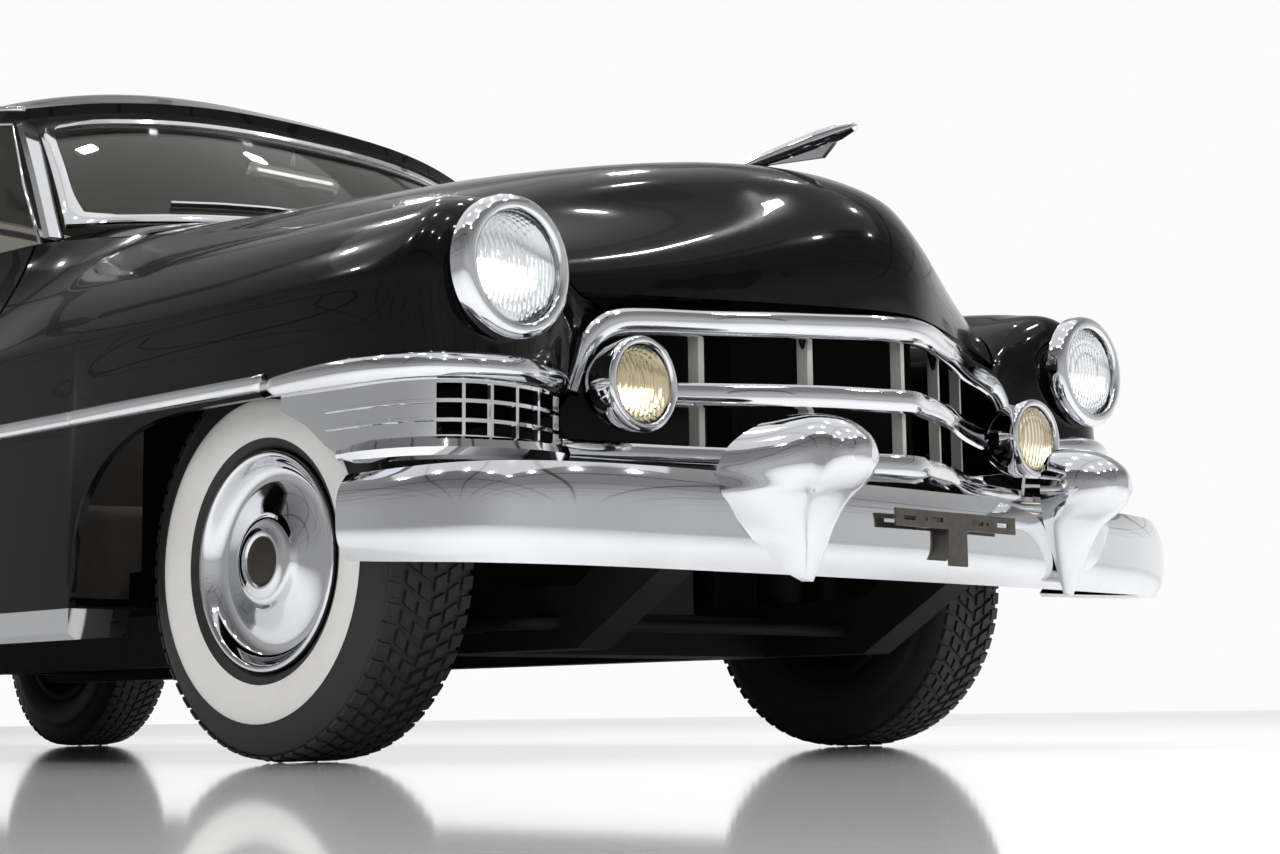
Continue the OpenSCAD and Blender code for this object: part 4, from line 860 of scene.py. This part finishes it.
def fluted_glass(centre, finish, name, radius, crown, flutes):
    bm = bmesh.new()
    bmesh.ops.create_grid(bm, x_segments=flutes * FLUTE_COLUMNS, y_segments=GLASS_ROWS, size=1.0)
    for vert in bm.verts:
        u, v = round(vert.co.x, 6), round(vert.co.y, 6)
        x = radius * u
        z = v * math.sqrt(radius ** 2 - x ** 2)
        rim = (x * x + z * z) / radius ** 2
        ridge = FLUTE_DEPTH * abs(math.sin(math.pi * flutes * (u + 1) / 2))
        vert.co = Vector((x, -crown * (1 - rim) - ridge * (1 - rim ** 6), z))
    bmesh.ops.remove_doubles(bm, verts=bm.verts, dist=1e-6)
    for vert in new_verts(bmesh.ops.extrude_face_region(bm, geom=bm.faces[:])["geom"]):
        vert.co.y = GLASS_BACK
    bmesh.ops.recalc_face_normals(bm, faces=bm.faces)
    smooth_faces(bm)
    bmesh.ops.translate(bm, vec=centre, verts=bm.verts)
    made = as_object(bm, name, finish)
    sharpen(made, GLASS_FOLD)
    return made


low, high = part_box("headlamps")
for side, tag in SIDES:
    centre = (side * (high.x - HEADLAMP_R), low.y + HEADLAMP_SET, (low.z + high.z) / 2)
    rim = turned(headlamp_rim, centre, chrome, f"headlamp_rim_{tag}", steps=96)
    show(rim, "body", "chrome", "headlamps")
    glass = fluted_glass(centre, lamp_glass, f"headlamp_glass_{tag}", radius=0.0882, crown=0.017, flutes=18)
    show(glass, "body", "glass")
    bowl = turned(headlamp_bowl, centre, bowl_metal, f"headlamp_bowl_{tag}", steps=64)
    show(bowl, "body", "chrome")
print("last headlamp at", tuple(round(c, 3) for c in centre))

# %% [markdown]
# Fog lamps are the same three pieces in a smaller size, with a pod instead of a rim,
# because they hang free and are seen from all sides.

# %% Fog lamps
FOG_R, FOG_SET = 0.080, 0.012
fog_pod = [(0.0, -0.088), (0.050, -0.088), (0.0640, -0.068), (0.0740, -0.045), (0.0790, -0.012),
           (FOG_R, 0.002), (0.0775, 0.0075), (0.0720, 0.0090), (0.0665, 0.0070), (0.0645, 0.0010),
           (0.0640, -0.0100)]
fog_bowl = [(0.0636, -0.002), (0.045, -0.0065), (0.0, -0.0090)]

low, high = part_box("fog_lamps")
for side, tag in SIDES:
    centre = (side * (high.x - FOG_R), low.y + FOG_SET, (low.z + high.z) / 2)
    pod = turned(fog_pod, centre, chrome, f"fog_pod_{tag}", steps=72)
    show(pod, "body", "chrome", "fog_lamps")
    glass = fluted_glass(centre, fog_glass, f"fog_glass_{tag}", radius=0.0638, crown=0.011, flutes=12)
    show(glass, "body", "glass")
    bowl = turned(fog_bowl, centre, bowl_metal, f"fog_bowl_{tag}", steps=48)
    show(bowl, "body", "chrome")
print("last fog lamp at", tuple(round(c, 3) for c in centre))

# %% [markdown]
# The benches are sprung seats. A cushion is a box that is finely cut, crowned in the
# middle, pulled in along its sewn channels and rounded by subdivision. The back is the
# same box without a crown, because it is stretched flat over its frame.

# %% Seats
CUTS, CHANNELS, CUSHION_CROWN = 11, 9, 0.03
BACK_T, SEAM, SUNK = 0.17, 0.01, 0.03
BASE_H = {"front_seat": 0.30, "rear_seat": 0.16}
PLAIN_SHARE, CHANNEL_SHARE = 0.65, 0.35


def bench_pad(name, low, high, crown):
    bm = bmesh.new()
    bmesh.ops.create_cube(bm, size=1.0)
    size = high - low
    bmesh.ops.scale(bm, vec=size, verts=bm.verts)
    bmesh.ops.subdivide_edges(bm, edges=bm.edges, cuts=CUTS, use_grid_fill=True)
    for vert in bm.verts:
        u, v, w = (2 * c / s for c, s in zip(vert.co, size))
        channel = 0.5 - 0.5 * math.cos(math.pi * CHANNELS * (u + 1))
        on_top = w > 0.9
        if on_top:
            swell = (1 - u ** 4) * (1 - v ** 4)
            vert.co.z += crown * swell * (PLAIN_SHARE + CHANNEL_SHARE * channel)
    bmesh.ops.translate(bm, vec=(low + high) / 2, verts=bm.verts)
    smooth_faces(bm)
    made = as_object(bm, name, cloth)
    subdivide(made, 1)
    return made


for node, base_h in BASE_H.items():
    low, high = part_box(node)
    cushion_high = Vector((high.x, high.y - BACK_T - SEAM, low.z + base_h - SUNK))
    cushion = bench_pad(node + "_cushion", low + Vector((0, SEAM, 0)), cushion_high, CUSHION_CROWN)
    back = bench_pad(node + "_back", Vector((low.x, high.y - BACK_T, low.z)), high, 0.0)
    for pad in (cushion, back):
        show(pad, "body", "upholstery", node)
print("benches", len(BASE_H))

# %% [markdown]
# Inside, the driver sees a thin horn ring in the steering wheel and a lever on the
# column. The ring lies in the wheel's own plane, so its circle is drawn round the
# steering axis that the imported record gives.

# %% Horn ring and lever
HORN_R, HORN_LIFT, HORN_POINTS, HORN_TUBE = 0.135, 0.008, 48, 0.0050
SPOKE_LIFT, SPOKE_TUBE, SPOKE_ANGLES, SPOKE_AT = 0.006, 0.0040, (-60, -120), (0.030, 0.08, HORN_R)
LEVER_DOWN, LEVER_TUBE = 0.15, 0.0050
LEVER = [(0, 0, 0), (-0.06, 0.01, 0.03), (-0.13, 0.03, 0.05), (-0.19, 0.06, 0.06)]
hub, axle = Vector(JOINTS["steering"]["pos_m"]), Vector(JOINTS["steering"]["axis"]).normalized()
across = Vector((1, 0, 0))
upward = axle.cross(across)


def on_wheel(radius, angle, lift):
    return hub + axle * lift + (across * math.cos(angle) + upward * math.sin(angle)) * radius


horn = [on_wheel(HORN_R, math.tau * k / HORN_POINTS, HORN_LIFT) for k in range(HORN_POINTS)]
show(tube(horn, HORN_TUBE, chrome, "horn_ring", closed=True), "steering_wheel", "chrome")
for number, angle in enumerate(SPOKE_ANGLES):
    spoke = [on_wheel(r, math.radians(angle), SPOKE_LIFT) for r in SPOKE_AT]
    show(tube(spoke, SPOKE_TUBE, chrome, f"horn_spoke_{number}"), "steering_wheel", "chrome")
stem = hub - axle * LEVER_DOWN
lever = [stem + Vector(step) for step in LEVER]
show(tube(lever, LEVER_TUBE, chrome, "shift_lever"), "body", "chrome")
print("horn ring round", tuple(round(c, 3) for c in hub))

# %% [markdown]
# The mirror is a long case with rounded ends on a short stalk: a turned form pressed
# flat. Two dials with bright rims stand on the dashboard, turned to face the driver.

# %% Mirror and dials
CASE_R, CASE_FLAT, STALK_R = 0.0275, 0.5, 0.006
case_chain = [(0.0, -0.135), (0.015, -0.134), (0.024, -0.128), (CASE_R, -0.110), (CASE_R, 0.110),
              (0.024, 0.128), (0.015, 0.134), (0.0, 0.135)]
DIAL_X, DIAL_Z, DIAL_SUNK = (0.29, 0.47), 0.905, 0.002
dial_rim = [(0.058, -0.010), (0.058, 0.006), (0.054, 0.009), (0.050, 0.007), (0.049, 0.002)]
dial_face = [(0.049, 0.0025), (0.030, 0.0030), (0.0, 0.0032)]

low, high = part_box("mirror")
case_at = Vector((0, (low.y + high.y) / 2, low.z + CASE_R))
case = spun(case_chain, steps=48)
bmesh.ops.scale(case, vec=(1, CASE_FLAT, 1), verts=case.verts)
bmesh.ops.translate(case, vec=case_at, verts=case.verts)
show(as_object(case, "mirror_case", chrome), "body", "chrome", "mirror")
show(tube([case_at, (0, case_at.y, high.z)], STALK_R, chrome, "mirror_stalk"), "body", "chrome", "mirror")

dial_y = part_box("dashboard")[1].y - DIAL_SUNK
for number, x in enumerate(DIAL_X):
    for chain, finish, label in ((dial_rim, chrome, "rim"), (dial_face, medal, "face")):
        name = f"dial_{label}_{number}"
        dial = turned(chain, (x, dial_y, DIAL_Z), finish, name, steps=48, facing=REARWARD)
        show(dial, "body", "chrome")
print("mirror at", tuple(round(c, 3) for c in case_at), "dials", len(DIAL_X))

# %% [markdown]
# Two small pieces are found by touch rather than seen: the pull on the boot lid, and
# the stabiliser bar across the front suspension, which shows under the bumper. A ray
# from behind finds the lid's skin, and the pull bows out from there.

# %% Boot pull and stabiliser
PULL_Z, PULL_R, FAR_BEHIND = 0.80, 0.0075, 4.0
# Points [x, distance from the lid] of half the pull
half_pull = [(0.04, 0.022), (0.075, 0.016), (0.085, 0.004)]
BAR_RISE, BAR_R = 0.012, 0.012
# Points [x, distance ahead of the front axle] of half the bar
half_bar = [(0.500, 0.075), (0.500, 0.23), (0.480, 0.285), (0.43, 0.305), (0.0, 0.305)]

spot, facing_out = cage_skin("deck_lid").ray_cast((0.0, FAR_BEHIND, PULL_Z), (0.0, -1.0, 0.0))[:2]
pull = [spot + facing_out * lift + Vector((x, 0, 0))
        for x, lift in [(-x, lift) for x, lift in reversed(half_pull)] + half_pull]
show(tube(pull, PULL_R, chrome, "boot_pull"), "deck_lid", "chrome")
bar_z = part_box("front_arms")[0].z + BAR_RISE
bar = [(x, FRONT_Y - ahead, bar_z)
       for x, ahead in half_bar + [(-x, ahead) for x, ahead in reversed(half_bar[:-1])]]
# The bar takes the black frame steel darkened as painted shade
show(tube(bar, BAR_R, frame_black_and_shade, "stabiliser_bar"), "body", "frame_steel")
print("boot pull at", tuple(round(c, 3) for c in spot))

# %% [markdown]
# Beside the boot floor the quarter panels leave a well. A thin liner closes each one.
# Its inner edge is drawn along the boot floor and extruded, and each new point is moved
# out to just short of the panel, where a ray meets it. A second extrusion gives the wall.

# %% Boot wells
WELL_X, WELL_Z, WELL_FRONT, WELL_REAR, WELL_STEPS = 0.640, 0.5495, 1.800, 2.530, 12
LINER_Z, LINER_T, LINER_GAP, RAY_FROM_X = 0.500, 0.003, 0.004, 0.70
for side, tag in SIDES:
    panel_skin = cage_skin(f"quarter_{tag}")
    bm = bmesh.new()
    inner = [bm.verts.new((side * WELL_X, WELL_FRONT + (WELL_REAR - WELL_FRONT) * k / WELL_STEPS, WELL_Z))
             for k in reversed(range(WELL_STEPS + 1))]
    edges = [bm.edges.new(pair) for pair in zip(inner, inner[1:])]
    for vert in new_verts(bmesh.ops.extrude_edge_only(bm, edges=edges)["geom"]):
        start = Vector((side * RAY_FROM_X, vert.co.y, LINER_Z))
        touched = panel_skin.ray_cast(start, Vector((side, 0, 0)))[0]
        vert.co = Vector((touched.x - side * LINER_GAP, vert.co.y, LINER_Z))
    fresh = new_verts(bmesh.ops.extrude_face_region(bm, geom=bm.faces[:])["geom"])
    bmesh.ops.translate(bm, verts=fresh, vec=(0, 0, -LINER_T))
    bmesh.ops.recalc_face_normals(bm, faces=bm.faces)
    print("liner", tag, "faces", len(bm.faces), "open edges", sum(edge.is_boundary for edge in bm.edges))
    # The liner takes the near-black painted shade
    show(as_object(bm, f"boot_liner_{tag}", painted_shade_black), "body", "frame_steel")

# %% [markdown]
# Each tail lamp is a small round glass in a bright rim at the top of the fin. Both are
# turned to face the rear, at the front end of the CAD lamp's box.

# %% Tail lamps
TAIL_R = 0.042
tail_rim = [(TAIL_R, 0.0), (0.041, 0.010), (0.037, 0.0155), (0.0335, 0.0160), (0.0325, 0.012)]
tail_glass = [(0.0325, 0.010), (0.0315, 0.022), (0.0280, 0.032), (0.0200, 0.037), (0.0, 0.0385)]
low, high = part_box("tail_lamps")
for side, tag in SIDES:
    centre = (side * (high.x - TAIL_R), low.y, (low.z + high.z) / 2)
    rim = turned(tail_rim, centre, chrome, f"tail_lamp_rim_{tag}", steps=64, facing=REARWARD)
    show(rim, "body", "chrome", "tail_lamps")
    glass = turned(tail_glass, centre, red_glass, f"tail_lamp_glass_{tag}", steps=64, facing=REARWARD)
    show(glass, "body", "red_lens", "tail_lamps")
print("last tail lamp at", tuple(round(c, 3) for c in centre))
